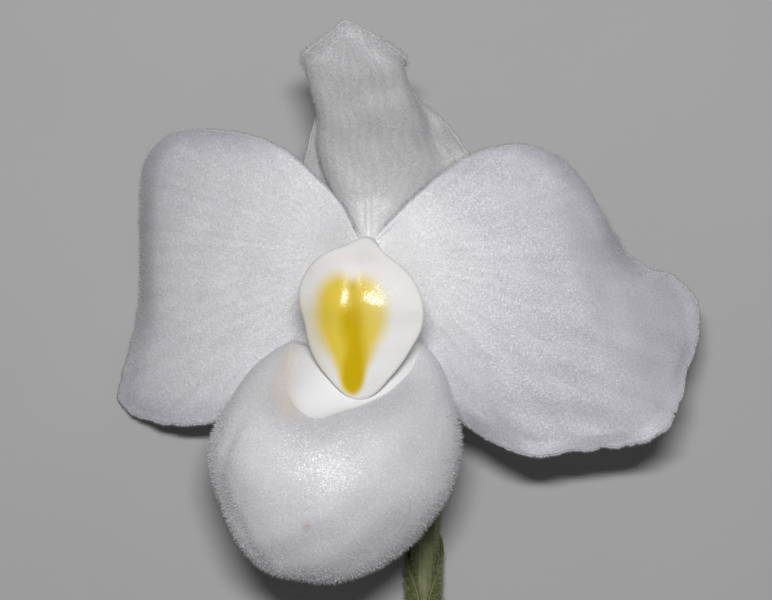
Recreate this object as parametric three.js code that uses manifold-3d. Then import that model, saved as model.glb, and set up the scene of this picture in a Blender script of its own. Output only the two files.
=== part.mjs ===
// A slipper orchid flower (Paphiopedilum), picked with its stem and laid on its back on a flat surface.
//
// Millimetres, +Z up. The flower looks up along +Z, a little towards -X. Its dorsal sepal points to +Y
// and the cut stem runs to -Y along the surface, which is Z = 0. Shapes are given from the flower's centre,
// the point where sepals, petals, lip and column spring from the top of the ovary.
// Pieces that grow from one another stand about 0.3 mm apart, so that each is a closed solid of its own.
import * as THREE from "three";
import { mergeVertices } from "three/addons/utils/BufferGeometryUtils.js";
import Module from "manifold-3d";

const { degToRad, lerp, clamp, smoothstep } = THREE.MathUtils;

// ---- Driving dimensions ------------------------------------------------------------------------------
const FLOWER_CENTRE = [-5.4, 40, 19]; // from the bottom centre of the whole flower's bounding box
const SURFACE_Z = -FLOWER_CENTRE[2]; // the surface it lies on, seen from the flower's centre

const PETAL_THICKNESS = 0.9; // in the middle of a petal or sepal
const MARGIN_THICKNESS = 0.65; // at its margin
const LIP_THICKNESS = 1.0;

const COLOURS = {
  petal: 0xe9e9ec,
  lip: 0xe6e6ea,
  column: 0xf1ede6,
  staminode: 0xf0e7c0,
  anther: 0xe3cf7a,
  ovary: 0x77854a,
  bract: 0x8f9c55,
  stem: 0x66753a,
};

// ---- Curves and fields -------------------------------------------------------------------------------
// Smooth curve through four neighbouring values, between the middle two.
const catmull = (a, b, c, d, f) =>
  b + 0.5 * f * (c - a + f * (2 * a - 5 * b + 4 * c - d + f * (3 * b - a - 3 * c + d)));

// Value at t, from 0 to 1, on the smooth curve through equally spaced numbers.
function through(values, t) {
  const last = values.length - 1;
  const at = clamp(t, 0, 1) * last;
  const i = Math.min(Math.floor(at), last - 1);
  const before = i > 0 ? values[i - 1] : 2 * values[0] - values[1];
  const after = i + 2 <= last ? values[i + 2] : 2 * values[last] - values[last - 1];
  return catmull(before, values[i], values[i + 1], after, at - i);
}

// The same round a full turn, where the first value follows the last.
function around(values, angle) {
  const n = values.length;
  const at = ((((angle / 360) % 1) + 1) % 1) * n;
  const i = Math.floor(at);
  const value = (k) => values[(k + n) % n];
  return catmull(value(i - 1), value(i), value(i + 1), value(i + 2), at - i);
}

const bell = (x, width) => Math.exp(-((x / width) ** 2));

// Evenly spaced parameters from 0 to 1.
const steps = (count) => Array.from({ length: count + 1 }, (_, i) => i / count);

// Evenly spaced points along the smooth curve through an outline's points.
function spacedOutline(outline, count) {
  const points = outline.map(([x, y]) => new THREE.Vector3(x, y, 0));
  return new THREE.CatmullRomCurve3(points, false, "centripetal").getSpacedPoints(count);
}

// ---- Closed meshes -----------------------------------------------------------------------------------
function closedMesh(vertices, triangles) {
  const geometry = new THREE.BufferGeometry();
  const places = vertices.flatMap((v) => v.toArray());
  geometry.setAttribute("position", new THREE.Float32BufferAttribute(places, 3));
  geometry.setIndex(triangles);
  return geometry;
}

// Unit normals of a grid of points, on the side from which rows run down and columns run to the right.
function gridNormals(grid, wraps) {
  const rows = grid.length - 1;
  const columns = grid[0].length - 1;
  return grid.map((row, i) =>
    row.map((_, j) => {
      const left = wraps && j === 0 ? columns - 1 : Math.max(j - 1, 0);
      const right = wraps && j === columns ? 1 : Math.min(j + 1, columns);
      const across = grid[i][right].clone().sub(grid[i][left]);
      const along = grid[Math.min(i + 1, rows)][j].clone().sub(grid[Math.max(i - 1, 0)][j]);
      return across.cross(along).normalize();
    }),
  );
}

// Two triangles for the quad a, b, c, d, split at b and d where that diagonal is the shorter one.
const split = (a, b, c, d, atBD) => (atBD ? [a, b, d, b, c, d] : [a, b, c, a, c, d]);

// Whether the diagonal from a cell's top right to its bottom left is the shorter one.
const leansLeft = (grid, i, j) =>
  grid[i][j + 1].distanceTo(grid[i + 1][j]) < grid[i][j].distanceTo(grid[i + 1][j + 1]);

// A blade with a grid as its middle sheet. Both faces are split into the same triangles.
// thickness(i, j) is for row i and column j, and side is 1 or -1, for the side that the normals face.
function blade(grid, thickness, side = 1) {
  const rows = grid.length;
  const columns = grid[0].length;
  const normals = gridNormals(grid, false);
  const vertices = [];
  for (const face of [0.5, -0.5]) {
    grid.forEach((row, i) =>
      row.forEach((p, j) => {
        const away = face * side * thickness(i, j);
        vertices.push(p.clone().addScaledVector(normals[i][j], away));
      }),
    );
  }
  const front = (i, j) => i * columns + j;
  const back = (i, j) => rows * columns + i * columns + j;
  const triangles = [];
  const quad = (a, b, c, d, atBD) => {
    const corners = split(a, b, c, d, atBD);
    triangles.push(...(side > 0 ? corners : corners.reverse()));
  };
  for (let i = 0; i < rows - 1; i++) {
    for (let j = 0; j < columns - 1; j++) {
      const atBD = leansLeft(grid, i, j);
      quad(front(i, j), front(i, j + 1), front(i + 1, j + 1), front(i + 1, j), atBD);
      quad(back(i, j), back(i + 1, j), back(i + 1, j + 1), back(i, j + 1), atBD);
    }
    quad(front(i, 0), front(i + 1, 0), back(i + 1, 0), back(i, 0));
    quad(front(i, columns - 1), back(i, columns - 1), back(i + 1, columns - 1), front(i + 1, columns - 1));
  }
  for (let j = 0; j < columns - 1; j++) {
    quad(front(0, j), back(0, j), back(0, j + 1), front(0, j + 1));
    quad(front(rows - 1, j), front(rows - 1, j + 1), back(rows - 1, j + 1), back(rows - 1, j));
  }
  return closedMesh(vertices, triangles);
}

// A closed tube along a curve. radius(t, turn) is at t along it and turn round it, both from 0 to 1.
function tube(curve, radius, lengths, sides) {
  const frames = curve.computeFrenetFrames(lengths);
  const vertices = [curve.getPointAt(0), curve.getPointAt(1)];
  const triangles = [];
  const ring = (i, j) => 2 + i * sides + (j % sides);
  for (let i = 0; i <= lengths; i++) {
    const centre = curve.getPointAt(i / lengths);
    for (let j = 0; j < sides; j++) {
      const angle = (2 * Math.PI * j) / sides;
      const r = radius(i / lengths, j / sides);
      vertices.push(
        centre
          .clone()
          .addScaledVector(frames.normals[i], r * Math.cos(angle))
          .addScaledVector(frames.binormals[i], r * Math.sin(angle)),
      );
    }
  }
  for (let j = 0; j < sides; j++) {
    triangles.push(0, ring(0, j + 1), ring(0, j), 1, ring(lengths, j), ring(lengths, j + 1));
    for (let i = 0; i < lengths; i++) {
      triangles.push(...split(ring(i, j), ring(i, j + 1), ring(i + 1, j + 1), ring(i + 1, j)));
    }
  }
  return closedMesh(vertices, triangles);
}

const curveThrough = (points) =>
  new THREE.CatmullRomCurve3(points.map((p) => new THREE.Vector3(...p)), false, "centripetal");

// ---- Joining and trimming ----------------------------------------------------------------------------
const wasm = await Module();
wasm.setup();

function solid(geometry) {
  const bare = geometry.clone();
  bare.deleteAttribute("normal");
  bare.deleteAttribute("uv");
  const merged = mergeVertices(bare, 1e-4);
  return new wasm.Manifold(
    new wasm.Mesh({
      numProp: 3,
      vertProperties: merged.attributes.position.array,
      triVerts: new Uint32Array(merged.index.array),
    }),
  );
}

function geometryOf(manifold) {
  const mesh = manifold.getMesh();
  const geometry = new THREE.BufferGeometry();
  geometry.setAttribute("position", new THREE.Float32BufferAttribute(mesh.vertProperties, 3));
  geometry.setIndex([...mesh.triVerts]);
  return geometry;
}

// What lies below the surface is taken off, which leaves the small flats that the flower rests on.
function restOnSurface(geometry) {
  const below = new THREE.BoxGeometry(400, 400, 40).translate(0, 0, SURFACE_Z - 20);
  return geometryOf(solid(geometry).subtract(solid(below)));
}

// ---- Petals ------------------------------------------------------------------------------------------
// Each petal fans out from its claw to its outline, which is what shows from the front. Along the margin a
// strip is curled back by an arc, so that past 90 degrees the true edge is hidden behind the outline.
const LEFT_PETAL = {
  side: -1,
  claw: [[-2.3, 1.9], [-2.4, -2.7]],
  outline: [
    [-2.5, 3.2], [-3.9, 5.9], [-6.6, 9.2], [-12, 13.9], [-17.6, 16.2], [-24.5, 17.2], [-30, 16.5],
    [-33.2, 13], [-34, 6.5], [-33.9, -3.2], [-34.7, -11.5], [-36, -17.5], [-37.2, -22.8], [-35.9, -24.6],
    [-33, -25.7], [-28.5, -26.4], [-22.9, -25.9], [-16.5, -22.5], [-9, -14.5], [-4.6, -8.6],
  ],
  curl: [5, 20, 60, 100, 95, 10, -5, 0, 5], // degrees, from the upper end of the claw round to the lower
  strip: [0.5, 2.5, 4.5, 6, 6, 3, 2, 2, 0.5], // mm of margin that curls
  height: (x, y) => {
    const out = -2.3 - x;
    return 0.3 - 0.16 * out - 0.0104 * out * out + riseToColumn(x, y, 5);
  },
  tuck: 1.3,
  wave: 0.35,
};

const RIGHT_PETAL = {
  side: 1,
  claw: [[2.3, 1.8], [2.5, -2.6]],
  outline: [
    [2.5, 2.6], [4.9, 4.6], [8.5, 8], [14.6, 12.5], [22, 14.3], [27, 13.4], [30.2, 11.3], [32.6, 7.9],
    [35.7, 2.4], [38.3, -1.5], [41.4, -3.6], [45.2, -4.8], [48.3, -8.2], [48.5, -13.5], [46.8, -18.3],
    [45.4, -23.1], [42.9, -27], [39.6, -28.5], [28.6, -29.9], [24.6, -30.5], [18.1, -28.3], [13.9, -25.4],
    [8.8, -18.4], [3.6, -7.6],
  ],
  curl: [5, 8, 28, 75, 55, 5, -15, -10, 5, 15, 30, 10, 5],
  strip: [0.5, 2, 3, 4, 4, 3, 2.5, 2, 2, 2, 2.5, 2, 0.5],
  height: (x, y) => {
    const crest = 25 - 0.35 * (y - 4);
    const out = x - crest;
    return 2.4 - (out > 0 ? 0.02 : 0.0042) * out * out + riseToColumn(x, y, 6.5);
  },
  tuck: 2.6,
  wave: 0.7,
};
const WAVES = 7; // along a margin, fading out towards the claw
const STRIP_LIMIT = 0.16; // of the way from the claw to the margin

// Near the column a petal lies higher, where its claw comes up round the column.
const riseToColumn = (x, y, spread) => 3.6 * bell(Math.hypot(x, y - 0.5), spread);

// Beside the lip a petal lies lower, by its tuck, so that its edge passes behind the pouch.
const TUCK = { from: 15, fade: 7 }; // mm from the lip's centre
function tuckBehindLip(x, y) {
  const beyond = Math.hypot(x - LIP.centre[0], y - LIP.centre[1]) - TUCK.from;
  return bell(Math.max(beyond, 0), TUCK.fade);
}

function petalGrid(petal, columns, bodyRows, stripRows) {
  const margin = spacedOutline(petal.outline, columns);
  const rows = Array.from({ length: bodyRows + stripRows + 1 }, () => []);
  margin.forEach((edge, j) => {
    const s = j / columns;
    const before = margin[Math.max(j - 1, 0)];
    const after = margin[Math.min(j + 1, columns)];
    const run = after.clone().sub(before).normalize();
    const outward = new THREE.Vector3(-petal.side * run.y, petal.side * run.x, 0);
    const claw = new THREE.Vector3(
      lerp(petal.claw[0][0], petal.claw[1][0], s),
      lerp(petal.claw[0][1], petal.claw[1][1], s),
      0,
    );
    const curl = degToRad(through(petal.curl, s)) || 1e-6;
    const strip = Math.min(through(petal.strip, s), STRIP_LIMIT * edge.distanceTo(claw));
    const reach = (strip * Math.sin(Math.min(curl, Math.PI / 2))) / curl;
    const foot = edge.clone().addScaledVector(outward, -reach);
    const awayFromClaw = smoothstep(Math.min(s, 1 - s), 0.04, 0.2);
    for (let i = 0; i <= bodyRows + stripRows; i++) {
      const t = Math.min(i / bodyRows, 1);
      const past = Math.max(i - bodyRows, 0) / stripRows;
      const out = (strip * Math.sin(curl * past)) / curl;
      const down = (strip * (1 - Math.cos(curl * past))) / curl;
      const p = claw.clone().lerp(foot, t).addScaledVector(outward, out);
      const strength = petal.wave * awayFromClaw * smoothstep(t + past, 0.7, 2);
      const wave = strength * Math.sin(2 * Math.PI * WAVES * s);
      p.z = petal.height(p.x, p.y) - petal.tuck * tuckBehindLip(p.x, p.y) - down + wave;
      rows[i].push(p);
    }
  });
  return rows;
}

function petalGeometry(petal) {
  const bodyRows = 7;
  const stripRows = 4;
  const grid = petalGrid(petal, 44, bodyRows, stripRows);
  const thickness = (i) => {
    const margin = smoothstep(i / (bodyRows + stripRows), 0.4, 1);
    return lerp(PETAL_THICKNESS, MARGIN_THICKNESS, margin);
  };
  return blade(grid, thickness, -petal.side);
}

// ---- Dorsal sepal ------------------------------------------------------------------------------------
// Cross-sections stand on the midrib from the claw (first rows) to the tip (last). Each runs out from the
// midrib for its reach. A row of fold is: the share of the reach where the slope starts, the share where the
// fold is, the slope in degrees at the fold, and the slope past it. Past 90 degrees the edge is behind.
const DORSAL = {
  midrib: [
    [0.5, 1.6, 1.4], [0.3, 6.5, 1.2], [-0.1, 11, 2.3], [-0.6, 14.6, 3.7], [-1.05, 18.2, 5.3],
    [-1.6, 22.3, 7], [-2, 25, 8.2], [-2.2, 26.7, 8.9], [-2.45, 28.9, 9.7], [-2.7, 31.5, 10.5],
  ],
  left: {
    reach: [2.3, 9.2, 11.5, 11, 9.8, 10.8, 11.7, 7.7, 3.4, 0.12],
    fold: [
      [0.05, 0.55, 46, 30], [0.1, 0.6, 74, 8], [0.2, 0.67, 88, 12], [0.25, 0.78, 100, 4],
      [0.28, 0.76, 100, 55], [0.28, 0.76, 102, 125], [0.25, 0.76, 100, 130], [0.3, 0.85, 48, 62],
      [0.1, 0.8, 14, 26], [0, 0.8, 0, 0],
    ],
  },
  right: {
    reach: [2.5, 10.5, 15.7, 15.4, 15.3, 14.5, 14, 8.6, 4.5, 0.12],
    fold: [
      [0.1, 0.7, 26, 18], [0.15, 0.7, 26, 10], [0.15, 0.65, 24, 0], [0.2, 0.66, 44, 2],
      [0.28, 0.77, 78, 16], [0.28, 0.75, 98, 86], [0.25, 0.76, 100, 125], [0.3, 0.85, 44, 54],
      [0.1, 0.8, 14, 24], [0, 0.8, 0, 0],
    ],
  },
  softness: 0.16, // of the reach, over which the slope changes past the fold
};

// Offset across and down at a share of the way from the midrib to the edge.
function acrossSection(half, u, share) {
  const reach = through(half.reach, u);
  const [start, fold, peak, past] = [0, 1, 2, 3].map((k) => through(half.fold.map((row) => row[k]), u));
  const slices = 60;
  let out = 0;
  let down = 0;
  for (let k = 0; k < slices; k++) {
    const at = ((k + 0.5) / slices) * share;
    const bend = peak * smoothstep(at, start, fold);
    const slope = degToRad(bend + (past - peak) * smoothstep(at, fold, fold + DORSAL.softness));
    out += Math.cos(slope) * ((reach * share) / slices);
    down += Math.sin(slope) * ((reach * share) / slices);
  }
  return { out, down };
}

function dorsalGrid(rows, columns) {
  const midrib = (k, u) => through(DORSAL.midrib.map((point) => point[k]), u);
  return steps(rows).map((u) =>
    steps(columns).map((w) => {
      const v = 2 * w - 1;
      const { out, down } = acrossSection(v < 0 ? DORSAL.left : DORSAL.right, u, Math.abs(v));
      return new THREE.Vector3(midrib(0, u) + Math.sign(v) * out, midrib(1, u), midrib(2, u) - down);
    }),
  );
}

function dorsalGeometry() {
  const rows = 24;
  const columns = 28;
  const thickness = (i, j) => {
    const edge = Math.max(Math.abs((2 * j) / columns - 1), i / rows);
    return lerp(PETAL_THICKNESS, MARGIN_THICKNESS, smoothstep(edge, 0.5, 1));
  };
  return blade(dorsalGrid(rows, columns), thickness, 1);
}

// ---- Synsepal: the two lower sepals, grown together behind the lip -----------------------------------
const SYNSEPAL = {
  start: [0.8, -3.5],
  length: 31,
  sideways: 1.6, // how far its midline bends to the right on the way
  halfWidth: [2.8, 7, 10.5, 12, 11.4, 8.6, 1.2],
  drop: [-1.45, -4.5, -6.4, -8, -8.8, -9.3, -9.4], // of its midline, behind the flower's centre
  dish: 0.016, // how much its sides rise, per mm from the midline squared
  thickness: 0.8,
};

function synsepalGrid(rows, columns) {
  return steps(rows).map((u) =>
    steps(columns).map((w) => {
      const across = (2 * w - 1) * through(SYNSEPAL.halfWidth, u);
      const x = SYNSEPAL.start[0] + SYNSEPAL.sideways * u + across;
      const y = SYNSEPAL.start[1] - SYNSEPAL.length * Math.sin((u * Math.PI) / 2) ** 1.1;
      return new THREE.Vector3(x, y, through(SYNSEPAL.drop, u) + SYNSEPAL.dish * across * across * u);
    }),
  );
}

const synsepalGeometry = () => blade(synsepalGrid(12, 12), () => SYNSEPAL.thickness, -1);

// ---- Lip: the slipper-shaped pouch -------------------------------------------------------------------
// The pouch is a rounded bag about its own centre. Its axis leans, from the claw down to the toe. Angle
// round is 0 at the front, and angle up is -90 at the toe. The mouth opens to the front and up, and the
// claw is the narrow end of the back wall that reaches up to the flower's centre.
const LIP = {
  centre: [-4.1, -31.6, 4],
  lean: 8.5,
  // Radius in the plane of the flower every 30 degrees, from the right side round by the top.
  radius: [17, 18.7, 21.2, 20.9, 18.9, 18.2, 18.3, 17.4, 18.1, 17, 16.1, 15.6],
  front: 12,
  back: 11,
  // The front swells and sinks from a plain oval, by these times the direction's x and y.
  swell: { left: 2.4, right: 1.9, flank: 2.2, flankFrom: 0.3, tilt: 1.3, sink: 2.5, round: 3.4 },
  clawRise: 8.4,
  clawBack: 2.2,
  clawWidth: 11, // degrees
  // The rim's angle up every 15 degrees round, from the front.
  rim: [
    20.3, 27.5, 39.3, 50.5, 57.5, 61, 63, 68, 72, 75, 78, 81, 83, 81, 78, 75, 72, 68, 64, 62, 59, 49.5,
    28.5, 18.3,
  ],
  rimRoll: 1.2,
  rimTurn: 125, // degrees that the rim is rolled in by
  clawTurn: { turn: 30, from: 110, full: 165 }, // and at the claw, between these angles round
};

function lipDirection(round, up) {
  const [w, l] = [degToRad(round), degToRad(up)];
  return new THREE.Vector3(Math.cos(l) * Math.sin(w), Math.sin(l), Math.cos(l) * Math.cos(w));
}

// How far the front stands out from the oval, in a direction.
function lipSwell({ x, y, z }) {
  const { left, right, flank, flankFrom, tilt, sink, round } = LIP.swell;
  const sides = (x > 0 ? right : left) * x * x - flank * Math.max(x - flankFrom, 0) ** 2 - tilt * x;
  return z > 0 ? (sides - sink * y - round * y * y) * z * z : 0;
}

function lipPoint(round, up) {
  const d = lipDirection(round, up);
  const angle = THREE.MathUtils.radToDeg(Math.atan2(d.y, d.x));
  const claw = bell(angle - 90, LIP.clawWidth) * (1 - smoothstep(d.z, -0.1, 0.5));
  const radius = around(LIP.radius, angle) + LIP.clawRise * claw;
  const oval = (d.z > 0 ? LIP.front : LIP.back) * d.z;
  const z = oval + lipSwell(d) - LIP.clawBack * claw * Math.hypot(d.x, d.y) ** 12;
  return new THREE.Vector3(radius * d.x, radius * d.y, z)
    .applyAxisAngle(new THREE.Vector3(0, 0, 1), -degToRad(LIP.lean))
    .add(new THREE.Vector3(...LIP.centre));
}

// Rows from the rolled rim down to the toe, columns round the pouch from the back.
function lipGrid(rows, columns, rollRows) {
  const grid = Array.from({ length: rows + rollRows }, () => []);
  const { turn: atClaw, from, full } = LIP.clawTurn;
  for (const w of steps(columns)) {
    const round = 360 * w - 180;
    const rim = around(LIP.rim, round);
    const edge = lipPoint(round, rim);
    const up = edge.clone().sub(lipPoint(round, rim - 1)).normalize();
    const side = lipPoint(round + 1, rim).sub(lipPoint(round - 1, rim)).normalize();
    const outward = side.clone().cross(up).normalize();
    const rolled = degToRad(lerp(LIP.rimTurn, atClaw, smoothstep(Math.abs(round), from, full)));
    for (let i = 0; i < rollRows; i++) {
      const turn = rolled * (1 - i / rollRows);
      grid[i].push(
        edge
          .clone()
          .addScaledVector(up, LIP.rimRoll * Math.sin(turn))
          .addScaledVector(outward, -LIP.rimRoll * (1 - Math.cos(turn))),
      );
    }
    for (let i = 0; i < rows; i++) {
      grid[rollRows + i].push(lipPoint(round, lerp(rim, -90, i / rows)));
    }
  }
  return grid;
}

// The outer and inner skins of the pouch, closed at the rim. The columns close on themselves, and each
// skin ends in one point at the toe.
function lipGeometry() {
  const rollRows = 3;
  const columns = 36;
  const grid = lipGrid(14, columns, rollRows);
  const normals = gridNormals(grid, true);
  const toe = lipPoint(0, -90);
  const inside = new THREE.Vector3(...LIP.centre).sub(toe).normalize();
  const vertices = [];
  for (const face of [0, 1]) {
    grid.forEach((row, i) =>
      row.slice(0, columns).forEach((p, j) => {
        vertices.push(p.clone().addScaledVector(normals[i][j], face * LIP_THICKNESS));
      }),
    );
  }
  const toes = vertices.length;
  vertices.push(toe, toe.clone().addScaledVector(inside, LIP_THICKNESS));
  const rows = grid.length;
  const at = (face, i, j) => (face * rows + i) * columns + (j % columns);
  const triangles = [];
  const quad = (a, b, c, d, atBD) => triangles.push(...split(a, b, c, d, atBD));
  for (let j = 0; j < columns; j++) {
    for (let i = 0; i < rows - 1; i++) {
      const leans = leansLeft(grid, i, j);
      quad(at(0, i, j), at(0, i + 1, j), at(0, i + 1, j + 1), at(0, i, j + 1), leans);
      quad(at(1, i, j), at(1, i, j + 1), at(1, i + 1, j + 1), at(1, i + 1, j), leans);
    }
    triangles.push(at(0, rows - 1, j), toes, at(0, rows - 1, j + 1));
    triangles.push(at(1, rows - 1, j), at(1, rows - 1, j + 1), toes + 1);
    quad(at(0, 0, j), at(0, 0, j + 1), at(1, 0, j + 1), at(1, 0, j));
  }
  return closedMesh(vertices, triangles);
}

// ---- Staminode: the shield over the mouth ------------------------------------------------------------
const STAMINODE = {
  centre: [-0.6, -11.1],
  radius: [8.9, 9.5, 9.9, 10.6, 10.9, 9.9, 7.9, 8, 9, 10.9, 8.8, 8.1], // every 30 degrees, from the right
  peak: { angle: 88, rise: 0.65, width: 12 }, // its upper end, where it joins the column
  height: 15.4, // of the crest above the flower's centre
  crest: 2.4, // the highest point, above the middle of the shield
  archUp: 0.07, // how it falls towards the column, per mm squared
  archUpEase: 6, // mm beyond the crest at which that fall has halved
  archDown: 0.0105, // and towards its tip, per mm squared
  shoulder: { drop: 0.5, width: 2.3 }, // of the first drop below the crest
  domeLeft: 0.05, // and to its sides
  domeRight: 0.018,
  flat: 3.8, // mm to each side of the middle before the sides fall
  groove: { x: -0.1, y: -1, depth: 0.75, round: 0.4, width: 0.9, top: 9.6, fade: 5.5, length: 9 },
  thickness: 1.3,
};

function staminodeArch(fromCrest) {
  if (fromCrest > 0) return (STAMINODE.archUp * fromCrest ** 2) / (1 + fromCrest / STAMINODE.archUpEase);
  const { drop, width } = STAMINODE.shoulder;
  return STAMINODE.archDown * fromCrest ** 2 + drop * (1 - bell(fromCrest, width));
}

function staminodePoint(angle, share) {
  const { peak, groove } = STAMINODE;
  const r = share * (around(STAMINODE.radius, angle) + peak.rise * bell(angle - peak.angle, peak.width));
  const x = r * Math.cos(degToRad(angle));
  const y = r * Math.sin(degToRad(angle));
  const dome = (x < 0 ? STAMINODE.domeLeft : STAMINODE.domeRight) * x * x * (1 - bell(x, STAMINODE.flat));
  const side = Math.exp(-Math.hypot(x - groove.x, groove.round) / groove.width);
  const along = smoothstep(groove.top - y, 0, groove.fade) * bell(y - groove.y, groove.length);
  const dent = groove.depth * side * along;
  const z = STAMINODE.height - staminodeArch(y - STAMINODE.crest) - dome - dent;
  return new THREE.Vector3(STAMINODE.centre[0] + x, STAMINODE.centre[1] + y, z);
}

function staminodeGeometry() {
  const rings = 6;
  const spokes = 28;
  const vertices = [];
  const thickness = (share) => STAMINODE.thickness * (1 - 0.45 * share ** 4);
  for (const face of [0, 1]) {
    vertices.push(staminodePoint(0, 0).setZ(staminodePoint(0, 0).z - face * STAMINODE.thickness));
    for (let i = 1; i <= rings; i++) {
      for (let j = 0; j < spokes; j++) {
        const p = staminodePoint((360 * j) / spokes, i / rings);
        vertices.push(p.setZ(p.z - face * thickness(i / rings)));
      }
    }
  }
  const size = 1 + rings * spokes;
  const at = (face, i, j) => face * size + 1 + (i - 1) * spokes + (j % spokes);
  const triangles = [];
  const quad = (a, b, c, d) => triangles.push(a, b, c, a, c, d);
  for (let j = 0; j < spokes; j++) {
    triangles.push(0, at(0, 1, j), at(0, 1, j + 1), size, at(1, 1, j + 1), at(1, 1, j));
    for (let i = 1; i < rings; i++) {
      quad(at(0, i, j), at(0, i + 1, j), at(0, i + 1, j + 1), at(0, i, j + 1));
      quad(at(1, i, j), at(1, i, j + 1), at(1, i + 1, j + 1), at(1, i + 1, j));
    }
    quad(at(0, rings, j), at(1, rings, j), at(1, rings, j + 1), at(0, rings, j + 1));
  }
  return closedMesh(vertices, triangles);
}

// ---- Column, with the stigma under the staminode, and the two anthers --------------------------------
const COLUMN = {
  path: [[0, -0.6, -1.85], [0, -0.8, 1.5], [-0.1, -1.6, 4.6], [-0.3, -3.4, 7.6], [-0.5, -6.1, 11.25]],
  radius: [1.8, 1.7, 1.7, 1.9, 1.7],
  crown: { centre: [0.15, -1.1, 8.3], size: [1.9, 2.3, 2.4] }, // its back, above the dorsal sepal's claw
  stigma: { centre: [-0.4, -7.6, 6.4], size: [2.6, 2.3, 0.9], tilt: 30 },
};

const ANTHER = {
  middle: -0.25,
  away: 3.3, // to each side of the middle
  y: -4.2,
  z: 7,
  size: [1, 1.5, 1.2],
  filament: 0.55,
  start: 2.3, // of the filament, to each side of the middle
};

const ellipsoid = (size, detail) => new THREE.SphereGeometry(1, detail, detail / 2).scale(...size);

function columnGeometry() {
  const stalk = tube(curveThrough(COLUMN.path), (t) => through(COLUMN.radius, t), 9, 12);
  const disc = ellipsoid(COLUMN.stigma.size, 14)
    .rotateX(degToRad(COLUMN.stigma.tilt))
    .translate(...COLUMN.stigma.centre);
  const neck = tube(curveThrough([[-0.2, -2.6, 6.2], COLUMN.stigma.centre]), () => 0.9, 3, 8);
  const crown = ellipsoid(COLUMN.crown.size, 14).translate(...COLUMN.crown.centre);
  return geometryOf(solid(stalk).add(solid(neck)).add(solid(disc)).add(solid(crown)));
}

// An anther at one side of the column, on a short filament that ends just short of it.
function antherGeometry(side) {
  const { middle, away, y, z, size, filament, start } = ANTHER;
  const centre = [middle + side * away, y, z];
  const sac = ellipsoid(size, 12).translate(...centre);
  const stub = tube(curveThrough([[middle + side * start, y + 0.8, z - 0.6], centre]), () => filament, 3, 8);
  return geometryOf(solid(sac).add(solid(stub)));
}

// ---- Ovary, bract and stem ---------------------------------------------------------------------------
// The ovary bends down from behind the flower to the surface and runs on along it to the node, where the
// bract sheathes its foot and the stem begins.
const NODE_Y = -55;
const OVARY = {
  path: [
    [0.2, -0.3, -2.4], [0.22, -0.34, -4], [0.9, -1.3, -6.8], [3, -4.8, -12], [5.8, -10.8, -15.3],
    [7.8, -18, -16.3], [9, -27, -16.4], [9, -37, -16.5], [8.8, -46, -16.3], [8.7, NODE_Y + 0.2, -16.2],
  ],
  radius: [3.2, 2.45, 2.4, 2.55, 2.7, 2.7, 2.4, 1.95, 1.85], // at equal steps along it
  ribs: 0.05, // six ribs, as a share of the radius
};
const STEM = {
  path: [
    [8.7, NODE_Y - 0.25, -16.2], [8, -65, -16.4], [6.4, -80, -16.6], [4.7, -96, -16.7], [3.1, -112, -16.7],
  ],
  radius: [2.75, 2.45, 2.35, 2.35, 2.4],
};
// The bract wraps the ovary's foot from the side that lies on the surface, by so many degrees to each side.
const BRACT = {
  length: 14,
  gap: 0.3,
  thickness: 0.55,
  lift: 0.2, // how far its tip stands off
  wrap: [172, 166, 146, 116, 82, 46, 8],
};

const ovaryCurve = curveThrough(OVARY.path);

function ovaryGeometry() {
  const radius = (t, turn) => through(OVARY.radius, t) * (1 + OVARY.ribs * Math.cos(12 * Math.PI * turn));
  return restOnSurface(tube(ovaryCurve, radius, 22, 18));
}

function stemGeometry() {
  return restOnSurface(tube(curveThrough(STEM.path), (t) => through(STEM.radius, t), 12, 14));
}

function bractGeometry() {
  const total = ovaryCurve.getLength();
  const grid = steps(10).map((u) => {
    const at = 1 - (0.1 + u * BRACT.length) / total;
    const centre = ovaryCurve.getPointAt(at);
    const along = ovaryCurve.getTangentAt(at);
    const across = new THREE.Vector3(0, 0, 1).cross(along).normalize();
    const upward = along.clone().cross(across);
    const lift = BRACT.gap + BRACT.thickness / 2 + BRACT.lift * u * u;
    const r = through(OVARY.radius, at) * (1 + OVARY.ribs) + lift;
    return steps(16).map((w) => {
      const angle = degToRad(180 + (2 * w - 1) * through(BRACT.wrap, u));
      return centre
        .clone()
        .addScaledVector(upward, r * Math.cos(angle))
        .addScaledVector(across, r * Math.sin(angle));
    });
  });
  return restOnSurface(blade(grid, () => BRACT.thickness, -1));
}

// ---- The flower --------------------------------------------------------------------------------------
const flower = new THREE.Group();
flower.position.set(...FLOWER_CENTRE);

function add(name, geometry, colour, roughness) {
  const material = new THREE.MeshStandardMaterial({ color: colour, roughness, metalness: 0 });
  const mesh = new THREE.Mesh(geometry, material);
  mesh.name = name;
  flower.add(mesh);
}

add("dorsal_sepal", dorsalGeometry(), COLOURS.petal, 0.6);
add("synsepal", synsepalGeometry(), COLOURS.petal, 0.6);
add("petal_left", restOnSurface(petalGeometry(LEFT_PETAL)), COLOURS.petal, 0.6);
add("petal_right", petalGeometry(RIGHT_PETAL), COLOURS.petal, 0.6);
add("lip", lipGeometry(), COLOURS.lip, 0.5);
add("staminode", staminodeGeometry(), COLOURS.staminode, 0.35);
add("column", columnGeometry(), COLOURS.column, 0.45);
add("anther_left", antherGeometry(-1), COLOURS.anther, 0.5);
add("anther_right", antherGeometry(1), COLOURS.anther, 0.5);
add("ovary", ovaryGeometry(), COLOURS.ovary, 0.6);
add("bract", bractGeometry(), COLOURS.bract, 0.6);
add("stem", stemGeometry(), COLOURS.stem, 0.6);

export default flower;
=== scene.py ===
import math

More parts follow.
